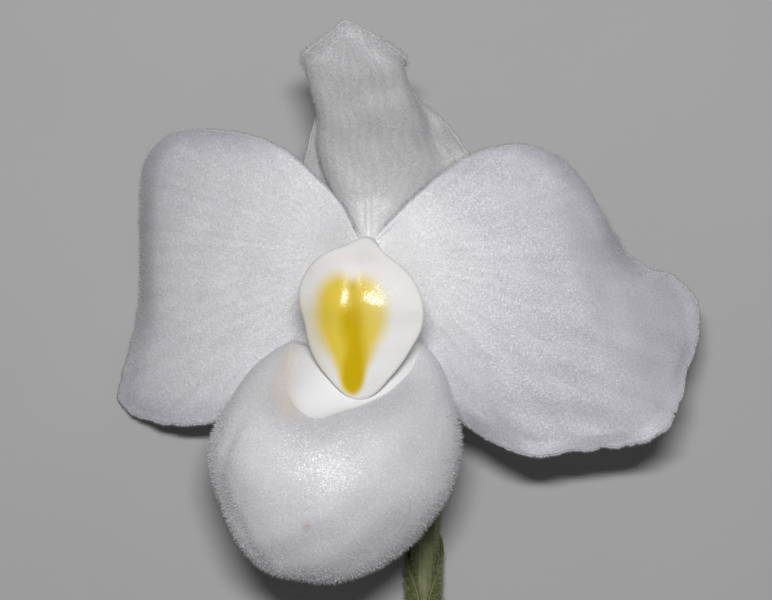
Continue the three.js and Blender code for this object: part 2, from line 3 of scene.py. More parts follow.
import bpy
import numpy as np
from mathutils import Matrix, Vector


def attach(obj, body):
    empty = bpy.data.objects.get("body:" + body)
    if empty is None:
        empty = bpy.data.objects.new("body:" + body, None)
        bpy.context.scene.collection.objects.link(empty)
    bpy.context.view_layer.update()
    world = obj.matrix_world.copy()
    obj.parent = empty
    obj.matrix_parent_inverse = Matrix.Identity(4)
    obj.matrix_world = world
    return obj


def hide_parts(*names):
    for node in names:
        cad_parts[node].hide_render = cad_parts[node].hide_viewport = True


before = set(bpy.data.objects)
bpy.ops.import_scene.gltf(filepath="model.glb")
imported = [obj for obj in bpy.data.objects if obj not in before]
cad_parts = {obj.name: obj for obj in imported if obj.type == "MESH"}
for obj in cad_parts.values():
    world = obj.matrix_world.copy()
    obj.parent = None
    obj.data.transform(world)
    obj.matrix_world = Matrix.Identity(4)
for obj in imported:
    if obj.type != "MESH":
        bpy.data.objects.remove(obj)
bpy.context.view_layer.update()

# A white slipper orchid flower lying on its back. Points are in mm from the flower's centre, where sepals,
# petals, lip and column spring from the ovary. They turn into metres of the shared frame in metres().
FLOWER_CENTRE = np.array([-5.4, 40.0, 19.0])
SURFACE_Z = -FLOWER_CENTRE[2]
CAMERA = np.array([3.05, -7.98, 420.0])
LENS, SENSOR = 135.07, 36
PIXEL_MM = 0.145  # what a pixel of the 772 x 600 view covers at height 0
VIEW_MIDDLE = (386, 300)


# ---- Camera ----
def metres(points):
    return (np.asarray(points, float) + FLOWER_CENTRE) / 1000


def placed(name, data):
    made = bpy.data.objects.new(name, data)
    bpy.context.scene.collection.objects.link(made)
    return made


camera = placed("camera", bpy.data.cameras.new("camera"))
bpy.context.scene.camera = camera
camera.location = Vector(metres(CAMERA))
camera.data.lens = LENS
camera.data.sensor_width = SENSOR
camera.data.clip_start = 0.02
camera.data.clip_end = 10


def seen(px, py, z):
    """The point at height z that shows at a pixel of the camera's view."""
    scale = PIXEL_MM * (CAMERA[2] - z) / CAMERA[2]
    return CAMERA[:2] + scale * np.array([px - VIEW_MIDDLE[0], VIEW_MIDDLE[1] - py])


# ---- Curves and fields ----
def joined(*parts):
    return np.concatenate(parts)


def stacked(*parts):
    return np.stack(parts, axis=-1)


def size(v):
    return np.linalg.norm(v, axis=-1)


def unit(v):
    return v / np.maximum(size(v)[..., None], 1e-12)


def catmull(a, b, c, d, f):
    return b + 0.5 * f * (c - a + f * (2 * a - 5 * b + 4 * c - d + f * (3 * b - a - 3 * c + d)))


def through(values, t):
    """Values at t, from 0 to 1, on the smooth curve through equally spaced values."""
    v = np.asarray(values, float)
    v = joined([2 * v[0] - v[1]], v, [2 * v[-1] - v[-2]])
    at = np.clip(t, 0, 1) * (len(v) - 3)
    i = np.minimum(np.floor(at).astype(int), len(v) - 4)
    f = (at - i).reshape(np.shape(at) + (1,) * (v.ndim - 1))
    return catmull(v[i], v[i + 1], v[i + 2], v[i + 3], f)


def around(values, angle):
    """The same round a full turn, where the first value follows the last."""
    v = np.asarray(values, float)
    at = (angle / 360 % 1) * len(v)
    i = np.floor(at).astype(int)
    return catmull(*(v[(i + k) % len(v)] for k in (-1, 0, 1, 2)), at - i)


def bell(x, width):
    return np.exp(-((x / width) ** 2))


def ramp(x, low, high):
    t = np.clip((x - low) / (high - low), 0, 1)
    return t * t * (3 - 2 * t)


def between(at, places, rows):
    """Rows of values, interpolated from their places to others."""
    return np.stack([np.interp(at, places, values) for values in rows.T], axis=-1)


def ripple(points, wavelength, seed, waves=9):
    """A smooth random field of about unit size, with bumps of one wavelength."""
    rng = np.random.default_rng(seed)
    directions = unit(rng.normal(size=(waves, points.shape[-1])))
    rates = 2 * np.pi / wavelength * rng.uniform(0.7, 1.4, waves)
    phases = rng.uniform(0, 2 * np.pi, waves)
    return np.sin((points @ directions.T) * rates + phases).sum(-1) * math.sqrt(2 / waves)


CURVE_STEPS = 120  # from each point given to the next


class Curve:
    """The centripetal Catmull-Rom curve through points, by share of its length."""

    def __init__(self, points):
        p = np.array(points, float)
        p = np.vstack([2 * p[0] - p[1], p, 2 * p[-1] - p[-2]])
        f = np.linspace(0, 1, CURVE_STEPS, endpoint=False)[:, None]
        spans = []
        for a, b, c, d in zip(p, p[1:], p[2:], p[3:]):
            steps = ((a, b), (b, c), (c, d))
            da, db, dc = (math.sqrt(max(size(y - x), 1e-6)) for x, y in steps)
            start = ((b - a) / da - (c - a) / (da + db) + (c - b) / db) * db
            end = ((c - b) / db - (d - b) / (db + dc) + (d - c) / dc) * db
            bend = 3 * (c - b) - 2 * start - end + f * (2 * (b - c) + start + end)
            spans.append(b + f * (start + f * bend))
        self.points = np.vstack([*spans, p[-2]])
        lengths = size(np.diff(self.points, axis=0))
        self.length = lengths.sum()
        self.share = joined([0], np.cumsum(lengths)) / self.length

    def at(self, u):
        return between(u, self.share, self.points)

    def tangent(self, u):
        return unit(self.at(u + 2e-3) - self.at(u - 2e-3))


def distance_to(path, xy):
    """Distance in the plane from each point to a polyline."""
    best = np.full(xy.shape[:-1], 1e9)
    for a, b in zip(path, path[1:]):
        t = np.clip(((xy - a) @ (b - a)) / max((b - a) @ (b - a), 1e-12), 0, 1)
        best = np.minimum(best, size(xy - a - t[..., None] * (b - a)))
    return best


def inside(path, xy):
    """Whether each point lies inside a closed polyline in the plane."""
    hit = np.zeros(xy.shape[:-1], bool)
    x, y = xy[..., 0], xy[..., 1]
    for (ax, ay), (bx, by) in zip(path, np.roll(path, -1, axis=0)):
        if ay != by:
            hit ^= ((ay > y) != (by > y)) & (x < ax + (y - ay) * (bx - ax) / (by - ay))
    return hit


def seen_path(pixels, z, step):
    """The smooth line at height z through pixels of the view, thinned to every so many points."""
    return Curve([seen(*pixel, z) for pixel in pixels]).points[::step]


def near(xy, pixel, z, width):
    """1 at a pixel of the view, falling to 0 within about twice the width."""
    return bell(size(xy - seen(*pixel, z)), width)


# ---- Meshes ----
class Body:
    """Points and faces of one closed piece, in mm."""

    def __init__(self, points, quads, extra=(), fields=None):
        self.points = np.asarray(points, float)
        self.quads = np.asarray(quads, int).reshape(-1, 4)
        self.extra = np.asarray(extra, int).reshape(-1, 3)
        self.triangles = np.vstack([self.quads[:, [0, 1, 2]], self.quads[:, [0, 2, 3]], self.extra])
        self.fields = fields or {}
        a, b, c = self.corners()
        if np.einsum("ij,ij->i", a, np.cross(b, c)).sum() < 0:
            self.quads, self.extra = self.quads[:, ::-1], self.extra[:, ::-1]
            self.triangles = self.triangles[:, ::-1]

    def corners(self):
        return [self.points[self.triangles[:, k]] for k in range(3)]

    def normals(self):
        a, b, c = self.corners()
        face = np.cross(b - a, c - a)
        total = np.zeros_like(self.points)
        for k in range(3):
            np.add.at(total, self.triangles[:, k], face)
        return unit(total)


def new_piece(name, body, material, node=None):
    mesh = bpy.data.meshes.new(name)
    faces = [f for f in (body.quads, body.extra) if len(f)]
    sizes = np.concatenate([np.full(len(f), f.shape[1]) for f in faces])
    corners = np.concatenate([f.ravel() for f in faces])
    mesh.vertices.add(len(body.points))
    mesh.vertices.foreach_set("co", metres(body.points).astype(np.float32).ravel())
    mesh.loops.add(len(corners))
    mesh.loops.foreach_set("vertex_index", corners.astype(np.int32))
    mesh.polygons.add(len(sizes))
    mesh.polygons.foreach_set("loop_start", joined([0], np.cumsum(sizes)[:-1]).astype(np.int32))
    for key, values in body.fields.items():
        data = mesh.attributes.new(key, "FLOAT", "POINT").data
        data.foreach_set("value", np.asarray(values, np.float32))
    mesh.update(calc_edges=True)
    mesh.shade_smooth()
    mesh.materials.append(material)
    piece = placed(name, mesh)
    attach(piece, "root")
    if node:
        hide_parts(node)


def grid_normals(grid, wraps=False):
    along = np.gradient(grid, axis=0)
    if wraps:
        across = np.roll(grid, -1, axis=1) - np.roll(grid, 1, axis=1)
    else:
        across = np.gradient(grid, axis=1)
    return unit(np.cross(across, along))


def edge_distance(grid, first=True, last=True, columns=True):
    """Distance along the grid's lines to the nearest of its first row, last row and outer columns."""
    down = size(np.diff(grid, axis=0))
    over = size(np.diff(grid, axis=1)).T
    best = np.full(grid.shape[:2], 1e9)

    def summed(steps):
        return np.vstack([np.zeros((1, steps.shape[1])), np.cumsum(steps, axis=0)])

    if first:
        best = np.minimum(best, summed(down))
    if last:
        best = np.minimum(best, summed(down[::-1])[::-1])
    if columns:
        best = np.minimum(best, np.minimum(summed(over), summed(over[::-1])[::-1]).T)
    return best


def rounding(distance, width):
    """How thick a sheet is near its rounded edge, as a share."""
    return np.sqrt(np.clip(1 - (1 - np.minimum(distance / width, 1)) ** 2, 0, 1))


def both_faces(values):
    """A grid's values for all points of the sheet that is made from it."""
    return joined(values.ravel(), values[1:-1, 1:-1].ravel())


def sheet(grid, thickness, fields=None, round_width=0.35):
    """A closed sheet about a grid, with a rounded edge all round."""
    rows, columns = grid.shape[:2]
    share = rounding(edge_distance(grid), round_width)
    share[0], share[-1], share[:, 0], share[:, -1] = 0, 0, 0, 0
    offset = grid_normals(grid) * (thickness * share / 2)[..., None]
    front = np.arange(rows * columns).reshape(rows, columns)
    back = front.copy()
    inner = (rows - 2) * (columns - 2)
    back[1:-1, 1:-1] = rows * columns + np.arange(inner).reshape(rows - 2, columns - 2)
    points = np.vstack([(grid + offset).reshape(-1, 3), (grid - offset)[1:-1, 1:-1].reshape(-1, 3)])

    def cells(index):
        return stacked(index[:-1, :-1], index[:-1, 1:], index[1:, 1:], index[1:, :-1]).reshape(-1, 4)

    quads = np.vstack([cells(front), cells(back)[:, ::-1]])
    made = {key: both_faces(values) for key, values in (fields or {}).items()}
    return Body(points, quads, fields=made)


def ring_cells(index):
    """Quads between rows of points that run round and close."""
    beside = np.roll(index, -1, axis=1)
    return stacked(index[:-1], index[1:], beside[1:], beside[:-1]).reshape(-1, 4)


def rings_with_caps(rings, sides):
    """Faces of rings of points, closed at each end by a point that follows them all."""
    index = np.arange(rings * sides).reshape(rings, sides)
    first = stacked(np.roll(index[0], -1), index[0], np.full(sides, rings * sides))
    last = stacked(index[-1], np.roll(index[-1], -1), np.full(sides, rings * sides + 1))
    return ring_cells(index)[:, [0, 3, 2, 1]], np.vstack([first, last])


def tube(curve, radii, lengths, sides, ribs=0):
    """A closed tube without twist. ribs swells it by a share of its radius at each of its sides."""
    u = np.linspace(0, 1, lengths)
    centre, along = curve.at(u), curve.tangent(u)
    first = np.zeros_like(along)
    first[0] = unit(np.cross(along[0], np.eye(3)[np.argmin(np.abs(along[0]))]))
    for i in range(1, lengths):
        first[i] = unit(first[i - 1] - along[i] * (first[i - 1] @ along[i]))
    angle = 2 * np.pi * np.arange(sides)[:, None] / sides
    ring = np.cos(angle) * first[:, None] + np.sin(angle) * np.cross(along, first)[:, None]
    radius = through(radii, u)[:, None] * (1 + ribs)
    body = centre[:, None] + ring * radius[..., None]
    points = np.vstack([body.reshape(-1, 3), centre[0], centre[-1]])
    return Body(points, *rings_with_caps(lengths, sides))


def ellipsoid(centre, radii, tilt=0):
    """tilt is a rotation about X in degrees."""
    rings, sides = 24, 48
    lat = np.linspace(-np.pi / 2, np.pi / 2, rings)[1:-1, None]
    lon = np.arange(sides) / sides * 2 * np.pi
    p = stacked(np.cos(lat) * np.cos(lon), np.cos(lat) * np.sin(lon), np.sin(lat) + 0 * lon)
    p = np.vstack([p.reshape(-1, 3), [0, 0, -1], [0, 0, 1]]) * radii
    c, s = math.cos(math.radians(tilt)), math.sin(math.radians(tilt))
    p = p @ np.array([[1, 0, 0], [0, c, s], [0, -s, c]])
    return Body(p + centre, *rings_with_caps(rings - 2, sides))


def two_sided(outer, inner, poles, make_fields):
    """A closed skin of two grids of rings that share their first ring, with a pole past each last one."""
    rows, sides = outer.shape[:2]
    points = np.vstack([outer.reshape(-1, 3), inner[1:].reshape(-1, 3), *poles])
    quads, fans = [], []
    for start, pole, order in ((0, len(points) - 2, 1), ((rows - 1) * sides, len(points) - 1, -1)):
        index = np.arange(rows * sides).reshape(rows, sides)
        index[1:] += start
        quads.append(ring_cells(index)[:, ::order])
        last = index[-1]
        fans.append(stacked(last, np.full(sides, pole), np.roll(last, -1))[:, ::order])
    return Body(points, np.vstack(quads), np.vstack(fans), make_fields(points))


def keep_above_surface(z, clearance, softness=0.3):
    """Bends a height up smoothly where it would sink into the surface."""
    low = SURFACE_Z + clearance
    x = (z - low) / softness
    return low + softness * np.where(x > 30, x, np.log1p(np.exp(np.minimum(x, 30))))


# ---- Materials ----
SKIN_CELL = 0.13
STREAK = 1000 / 520  # both in mm


class Graph:
    """A material's node tree. A socket or a plain value may be given as any input."""

    def __init__(self, name):
        self.material = bpy.data.materials.new(name)
        self.material.use_nodes = True
        self.tree = self.material.node_tree
        self.shader = self.tree.nodes["Principled BSDF"]
        self.place = self.node("TexCoord", output="Object")

    def feed(self, socket, value):
        if isinstance(value, bpy.types.NodeSocket):
            self.tree.links.new(value, socket)
        else:
            socket.default_value = (*value, 1) if socket.type == "RGBA" else value

    def node(self, kind, inputs=None, output=0, **settings):
        """Makes a node, and returns one of its outputs."""
        made = self.tree.nodes.new("ShaderNode" + kind)
        for key, value in settings.items():
            setattr(made, key, value)
        for key, value in (inputs or {}).items():
            self.feed(made.inputs[key], value)
        return made.outputs[output]

    def noise(self, size_mm, detail=2.0, rough=0.5):
        inputs = {"Vector": self.place, "Scale": 1000 / size_mm, "Detail": detail, "Roughness": rough}
        return self.node("TexNoise", inputs)

    def cells(self, size_mm, output="Color"):
        return self.node("TexVoronoi", {"Vector": self.place, "Scale": 1000 / size_mm}, output)

    def field(self, name):
        return self.node("Attribute", output="Fac", attribute_name=name)

    def math(self, operation, a, b=0.0, c=0.0):
        return self.node("Math", {0: a, 1: b, 2: c}, operation=operation)

    def times(self, a, b):
        return self.math("MULTIPLY", a, b)

    def vector(self, operation, a, b=(0, 0, 0)):
        return self.node("VectorMath", {0: a, 1: b}, operation=operation)

    def scale(self, colour, factor):
        return self.node("VectorMath", {0: colour, "Scale": factor}, operation="SCALE")

    def spread(self, value, low, high, to_low=0.0, to_high=1.0):
        return self.node("MapRange", {0: value, 1: low, 2: high, 3: to_low, 4: to_high})

    def grain(self, low, high, *noise):
        """Noise between two values, where noise gives its size and so on."""
        return self.spread(self.noise(*noise), 0.3, 0.7, low, high)

    def specks_and_painted_glints(self, low, high):
        """Fine specks of tone, one to each skin cell, with a few lighter ones that are painted glints."""
        cell = self.node("SeparateColor", {0: self.cells(SKIN_CELL)})
        # A few cells are made lighter: painted glints.
        painted_glint = self.spread(cell, 0.94, 0.97, 1.0, 1.0 + 1.6 * (high - low))
        return self.times(self.spread(cell, 0.0, 1.0, low, high), painted_glint)

    def mix(self, factor, a, b):
        return self.node("Mix", {0: factor, 6: a, 7: b}, 2, data_type="RGBA")

    def darkened(self, colour, field, amount):
        return self.scale(colour, self.math("MULTIPLY_ADD", self.field(field), -amount, 1.0))

    def bump(self, height, strength, distance_mm):
        inputs = {"Height": height, "Strength": strength, "Distance": distance_mm / 1000}
        return self.node("Bump", inputs)

    def facets(self, size_mm, tilt, normal):
        """Tilts a normal by a random amount in each small cell, like the wet walls of skin cells."""
        shift = self.scale(self.vector("SUBTRACT", self.cells(size_mm), (0.5, 0.5, 0.5)), tilt)
        return self.vector("NORMALIZE", self.vector("ADD", normal, shift))

    def translucent(self, weight, scale_mm, radius=(1.0, 0.92, 0.88)):
        self.set(Subsurface_Weight=weight, Subsurface_Radius=radius, Subsurface_Scale=scale_mm / 1000)

    def set(self, **values):
        for key, value in values.items():
            self.feed(self.shader.inputs[key.replace("_", " ")], value)
        return self.material


def petal_material(name, tone, thin, sparkle):
    g = Graph(name)
    shade = g.times(g.grain(0.93, 1.05, 0.34, 3.0, 0.65), g.grain(0.97, 1.02, 5.0, 3.0, 0.55))
    veins = g.spread(g.field("vein"), -1.0, 1.0, 0.97, 1.035)
    # The specks include a few painted glints.
    shade = g.times(shade, g.times(veins, g.specks_and_painted_glints(0.93, 1.05)))
    # The thin tone is partly thin tissue and partly painted shade where the blade turns from the light.
    colour = g.scale(g.mix(g.field("thin"), tone, thin), shade)
    # Paler near the claw, partly paler tissue and partly painted light against the shade by the column; then
    # painted shade where the margin turns from the light, and painted light where that field is negative.
    colour = g.darkened(g.mix(g.field("pale"), colour, (0.93, 0.92, 0.92)), "painted_shade_and_light", 0.25)
    normal = g.facets(SKIN_CELL, sparkle, g.bump(g.noise(0.3, 2.0, 0.6), 0.5, 0.05))
    rough = g.spread(g.noise(0.25, 1.0), 0.35, 0.65, 0.36, 0.58)
    g.translucent(0.3, 0.9)
    g.set(Specular_IOR_Level=0.55, Sheen_Weight=0.12, Sheen_Roughness=0.45)
    return g.set(Base_Color=colour, Roughness=rough, Normal=normal)


def lip_material():
    g = Graph("lip_tissue")
    inner = g.field("inner")
    # The specks include a few painted glints.
    shade = g.times(g.grain(0.95, 1.04, 0.3, 3.0, 0.65), g.specks_and_painted_glints(0.94, 1.05))
    shade = g.times(shade, g.grain(0.965, 1.02, 4.0, 3.0, 0.55))
    # Darker below the rim, and painted shade on the pouch's right side and lower right.
    outer = g.darkened(g.scale((0.775, 0.775, 0.805), shade), "duller_and_painted_shade", 0.24)
    colour = g.mix(inner, outer, (0.93, 0.925, 0.93))
    colour = g.mix(g.times(g.field("blush"), 0.55), colour, (0.74, 0.64, 0.565))
    # A pinkish-brown dot, and a painted shadow in the gap under the shield's tip.
    colour = g.mix(g.times(g.field("dot_and_painted_shadow"), 0.6), colour, (0.55, 0.40, 0.37))
    faceted = g.facets(0.14, 0.25, g.bump(g.noise(0.28, 2.0, 0.6), 0.5, 0.05))
    smooth = g.node("NewGeometry", output="Normal")
    normal = g.node("Mix", {0: inner, 4: faceted, 5: smooth}, 1, data_type="VECTOR")
    rough = g.spread(g.noise(0.22, 1.0), 0.35, 0.65, 0.2, 0.34)
    rough = g.math("MULTIPLY_ADD", inner, -0.08, rough)
    g.translucent(0.25, 0.5)
    g.set(Specular_IOR_Level=0.23, Sheen_Weight=0.06, Sheen_Roughness=0.4)
    return g.set(Base_Color=colour, Roughness=rough, Normal=normal)


def staminode_material():
    g = Graph("staminode_tissue")
    white = g.mix(g.field("rosy"), (0.93, 0.915, 0.90), (0.90, 0.87, 0.86))
    white = g.mix(g.field("cream"), white, (0.87, 0.825, 0.70))
    pale = g.mix(g.field("fading"), (0.85, 0.655, 0.08), (0.91, 0.77, 0.27))
    colour = g.mix(g.field("mark"), white, pale)
    colour = g.mix(g.field("deep"), colour, (0.70, 0.485, 0.003))
    colour = g.scale(colour, g.grain(0.985, 1.01, 0.4))
    normal = g.facets(SKIN_CELL, 0.13, g.bump(g.noise(0.3), 0.25, 0.03))
    rough = g.math("MULTIPLY_ADD", g.field("matte"), 0.4, 0.2)
    g.translucent(0.4, 0.7)
    return g.set(Base_Color=colour, Roughness=rough, Normal=normal, Specular_IOR_Level=0.35)


def column_material():
    g = Graph("column_tissue")
    tint = g.mix(g.spread(g.noise(2.5), 0.35, 0.7), (0.93, 0.91, 0.90), (0.92, 0.87, 0.86))
    colour = g.scale(tint, g.grain(0.97, 1.02, 0.5, 3.0))
    normal = g.bump(g.noise(0.35), 0.3, 0.04)
    g.translucent(0.35, 0.9)
    return g.set(Base_Color=colour, Roughness=0.38, Normal=normal, Specular_IOR_Level=0.5)


def anther_material():
    g = Graph("anther_pollen")
    wet = g.spread(g.noise(0.35, 3.0), 0.35, 0.65)
    colour = g.mix(wet, (0.74, 0.50, 0.10), (0.86, 0.72, 0.33))
    normal = g.bump(g.cells(0.2, "Distance"), 0.6, 0.05)
    g.translucent(0.2, 0.5)
    return g.set(Base_Color=colour, Roughness=0.33, Normal=normal, Coat_Weight=0.2, Coat_Roughness=0.2)


def green_material(name, dark, light, whitening=False):
    g = Graph(name)
    colour = g.mix(g.grain(0.0, 1.0, STREAK, 4.0, 0.6), dark, light)
    colour = g.scale(colour, g.grain(0.86, 1.1, 0.3))
    if whitening:
        colour = g.mix(g.field("white"), colour, (0.80, 0.80, 0.76))
    normal = g.bump(g.noise(0.25, 3.0, 0.6), 0.5, 0.06)
    g.translucent(0.15, 0.6, (1.0, 1.0, 0.5))
    return g.set(Base_Color=colour, Roughness=0.46, Normal=normal, Sheen_Weight=0.08, Sheen_Roughness=0.4)


def hair_material(name, tone, tip):
    g = Graph(name)
    colour = g.mix(g.grain(0.0, 1.0, 0.6, 1.0), tone, tip)
    g.translucent(0.25, 0.3)
    return g.set(Base_Color=colour, Roughness=0.35, Specular_IOR_Level=0.6)


PETAL_TISSUE = petal_material("petal_tissue", (0.82, 0.815, 0.85), (0.56, 0.56, 0.60), 0.34)
DORSAL_TISSUE = petal_material("dorsal_tissue", (0.81, 0.81, 0.825), (0.53, 0.53, 0.54), 0.30)
LIP_TISSUE = lip_material()
SHIELD_TISSUE = staminode_material()
COLUMN_TISSUE = column_material()
POLLEN = anther_material()
OVARY_GREEN = green_material("ovary_skin", (0.11, 0.125, 0.045), (0.19, 0.205, 0.075), whitening=True)
BRACT_GREEN = green_material("bract_skin", (0.085, 0.095, 0.022), (0.135, 0.145, 0.037))
STEM_GREEN = green_material("stem_skin", (0.088, 0.098, 0.025), (0.142, 0.157, 0.042))
WHITE_HAIR = hair_material("white_hair", (0.84, 0.84, 0.87), (0.92, 0.92, 0.93))
GREEN_HAIR = hair_material("green_hair", (0.42, 0.45, 0.24), (0.62, 0.62, 0.48))


# ---- Hairs ----
ROOT_DEPTH = 0.04


def scatter(body, rng, count, density=None):
    """Random points on a body's faces and their normals, as many as count, denser where density is higher."""
    corners = body.points[body.triangles]
    area = size(np.cross(corners[:, 1] - corners[:, 0], corners[:, 2] - corners[:, 0])) / 2
    if density is not None:
        area = area * density[body.triangles].mean(axis=1)
    chosen = rng.choice(len(area), count, p=area / area.sum())
    mix = rng.dirichlet((1, 1, 1), count)
    roots = np.einsum("ij,ijk->ik", mix, corners[chosen])
    normals = unit(np.einsum("ij,ijk->ik", mix, body.normals()[body.triangles[chosen]]))
    return roots, normals


def hairs(name, rng, roots, directions, lengths, lean, width=0.065, material=WHITE_HAIR):
    """Each hair is a thin closed spike that stands on its root."""
    directions = unit(directions + rng.normal(0, lean, directions.shape))
    tips = roots + directions * lengths[:, None]
    kept = (tips[:, 2] > SURFACE_Z + 0.05) & (roots[:, 2] > SURFACE_Z + 0.1)
    roots, directions, tips = roots[kept], directions[kept], tips[kept]
    helper = np.where(np.abs(directions[:, 2:]) < 0.8, [[0.0, 0.0, 1.0]], [[1.0, 0.0, 0.0]])
    side = unit(np.cross(directions, helper))
    other = np.cross(directions, side)
    points = np.empty((len(roots), 4, 3))
    for k in range(3):
        angle = 2 * math.pi * k / 3
        foot = side * math.cos(angle) + other * math.sin(angle)
        points[:, k] = roots - directions * ROOT_DEPTH + foot * (width / 2)
    points[:, 3] = tips
    first = 4 * np.arange(len(roots))[:, None, None]
    triangles = (first + np.array([[0, 1, 3], [1, 2, 3], [2, 0, 3], [0, 2, 1]])).reshape(-1, 3)
    new_piece(name, Body(points.reshape(-1, 3), [], triangles), material)


# ---- Petals ----
LIP_CENTRE = np.array([-4.1, -31.6, 4.0])
FOOT, EDGE = 7, 10  # row places of the curled strip's foot and of the edge, from 0 at the claw

# Along the outline from the claw's top round to its foot: the outline itself, how many degrees the margin
# curls down, how wide the curled strip is and how ragged the edge is. Then how deep the petal dips behind the
# lip and how high its margin waves, where it grows thin and how much thinner its margin is, which greys its
# colour partly for thin tissue and partly as painted shade where the blade turns from the light, and the
# middle, half width and half height of an area of painted shade where the margin rolls back from the light.
LEFT_PETAL = {
    "side": -1,
    "claw": [[-0.7, -0.1], [-1.5, -3.2]],
    "outline": [
        [-0.8, 0.4], [-2.1, 3.2], [-3.5, 5.8], [-6.6, 9.2], [-12, 13.9], [-17.6, 16.2], [-24.5, 17.2],
        [-30, 16.5], [-33.2, 13], [-34, 6.5], [-33.9, -3.2], [-34.7, -11.5], [-36, -17.5], [-37.2, -22.8],
        [-35.9, -24.6], [-33, -25.7], [-28.5, -26.4], [-22.9, -25.9], [-16.5, -22.5], [-9, -14.5],
        [-4.6, -8.6],
    ],
    "curl": [5, 20, 60, 100, 95, 10, -5, 0, 5],
    "strip": [0.5, 2.5, 4.5, 6, 6, 3, 2, 2, 0.5],
    "ragged": [0, 0.03, 0.04, 0.05, 0.09, 0.1, 0.08, 0.05, 0],
    "tuck": 1.3,
    "wave": 0.35,
    "thin": (14, 60, 0.65),
    "painted_shade_and_light": (-34.5, 0.5, 3.5, 14),
}
RIGHT_PETAL = {
    "side": 1,
    "claw": [[1.0, 0.1], [2.4, -3.4]],
    "outline": [
        [1.3, 0.8], [4.7, 4.4], [8.5, 8.0], [14.6, 12.5], [22, 14.3], [27, 13.4], [30.2, 11.3], [32.6, 7.9],
        [35.7, 2.4], [38.3, -1.5], [41.4, -3.6], [45.2, -4.8], [48.3, -8.2], [48.5, -13.5], [46.8, -18.3],
        [45.4, -23.1], [42.9, -27], [39.6, -28.5], [28.6, -29.9], [24.6, -30.5], [18.1, -28.3],
        [13.9, -25.4], [8.8, -18.4], [3.1, -7.6],
    ],
    "curl": [5, 8, 28, 75, 55, 5, -15, -10, 5, 15, 30, 10, 5],
    "strip": [0.5, 2, 3, 3.6, 3, 2, 2, 2, 2, 2, 2.5, 2, 0.5],
    "ragged": [0, 0.03, 0.04, 0.05, 0.06, 0.06, 0.12, 0.22, 0.22, 0.1, 0.05, 0.04, 0],
    "tuck": 2.6,
    "wave": 0.7,
    "thin": (5, 32, 0.6),
    "painted_shade_and_light": (36.2, 1.0, 5, 5),
}


def rise_to_column(x, y, spread):
    return 3.6 * bell(np.hypot(x, y - 0.5), spread)


def left_height(x, y):
    out = -2.3 - x
    return 0.3 - 0.16 * out - 0.0104 * out * out + rise_to_column(x, y, 5.0)


def right_height(x, y):
    out = x - (25 - 0.35 * (y - 4))
    return 2.4 - np.where(out > 0, 0.02, 0.0042) * out * out + rise_to_column(x, y, 6.5)


def from_point(xyz, point):
    """Distance in the plane from a point."""
    return np.hypot(xyz[..., 0] - point[0], xyz[..., 1] - point[1])


def tuck_behind_lip(xy):
    return bell(np.maximum(from_point(xy, LIP_CENTRE) - 15, 0), 7)


def thinness_and_painted_shade(grid, distance, start, end, edge):
    """Greyer tone, 0 at the thick claw to 1 in a thin margin: partly thin tissue, partly painted shade where
    light falls off.
    """
    away = from_point(grid, (0, -8))
    margin = bell(distance, 3.0) * ramp(away, 18, 30)
    return np.clip(ramp(away, start, end) + edge * margin, 0, 1.6)


def places(first, low, high, count, last):
    """Places from 0 to 1, close together at both ends."""
    return joined(first, np.linspace(low, high, count), last)


def blade_rows():
    close = 0.3 * np.array([1.0, 0.6, 0.34, 0.16, 0.05, 0.0])
    body = np.linspace(0, FOOT, 74, endpoint=False)
    strip = np.linspace(FOOT, EDGE - close[0], 30, endpoint=False)
    return joined(body, strip, EDGE - close)


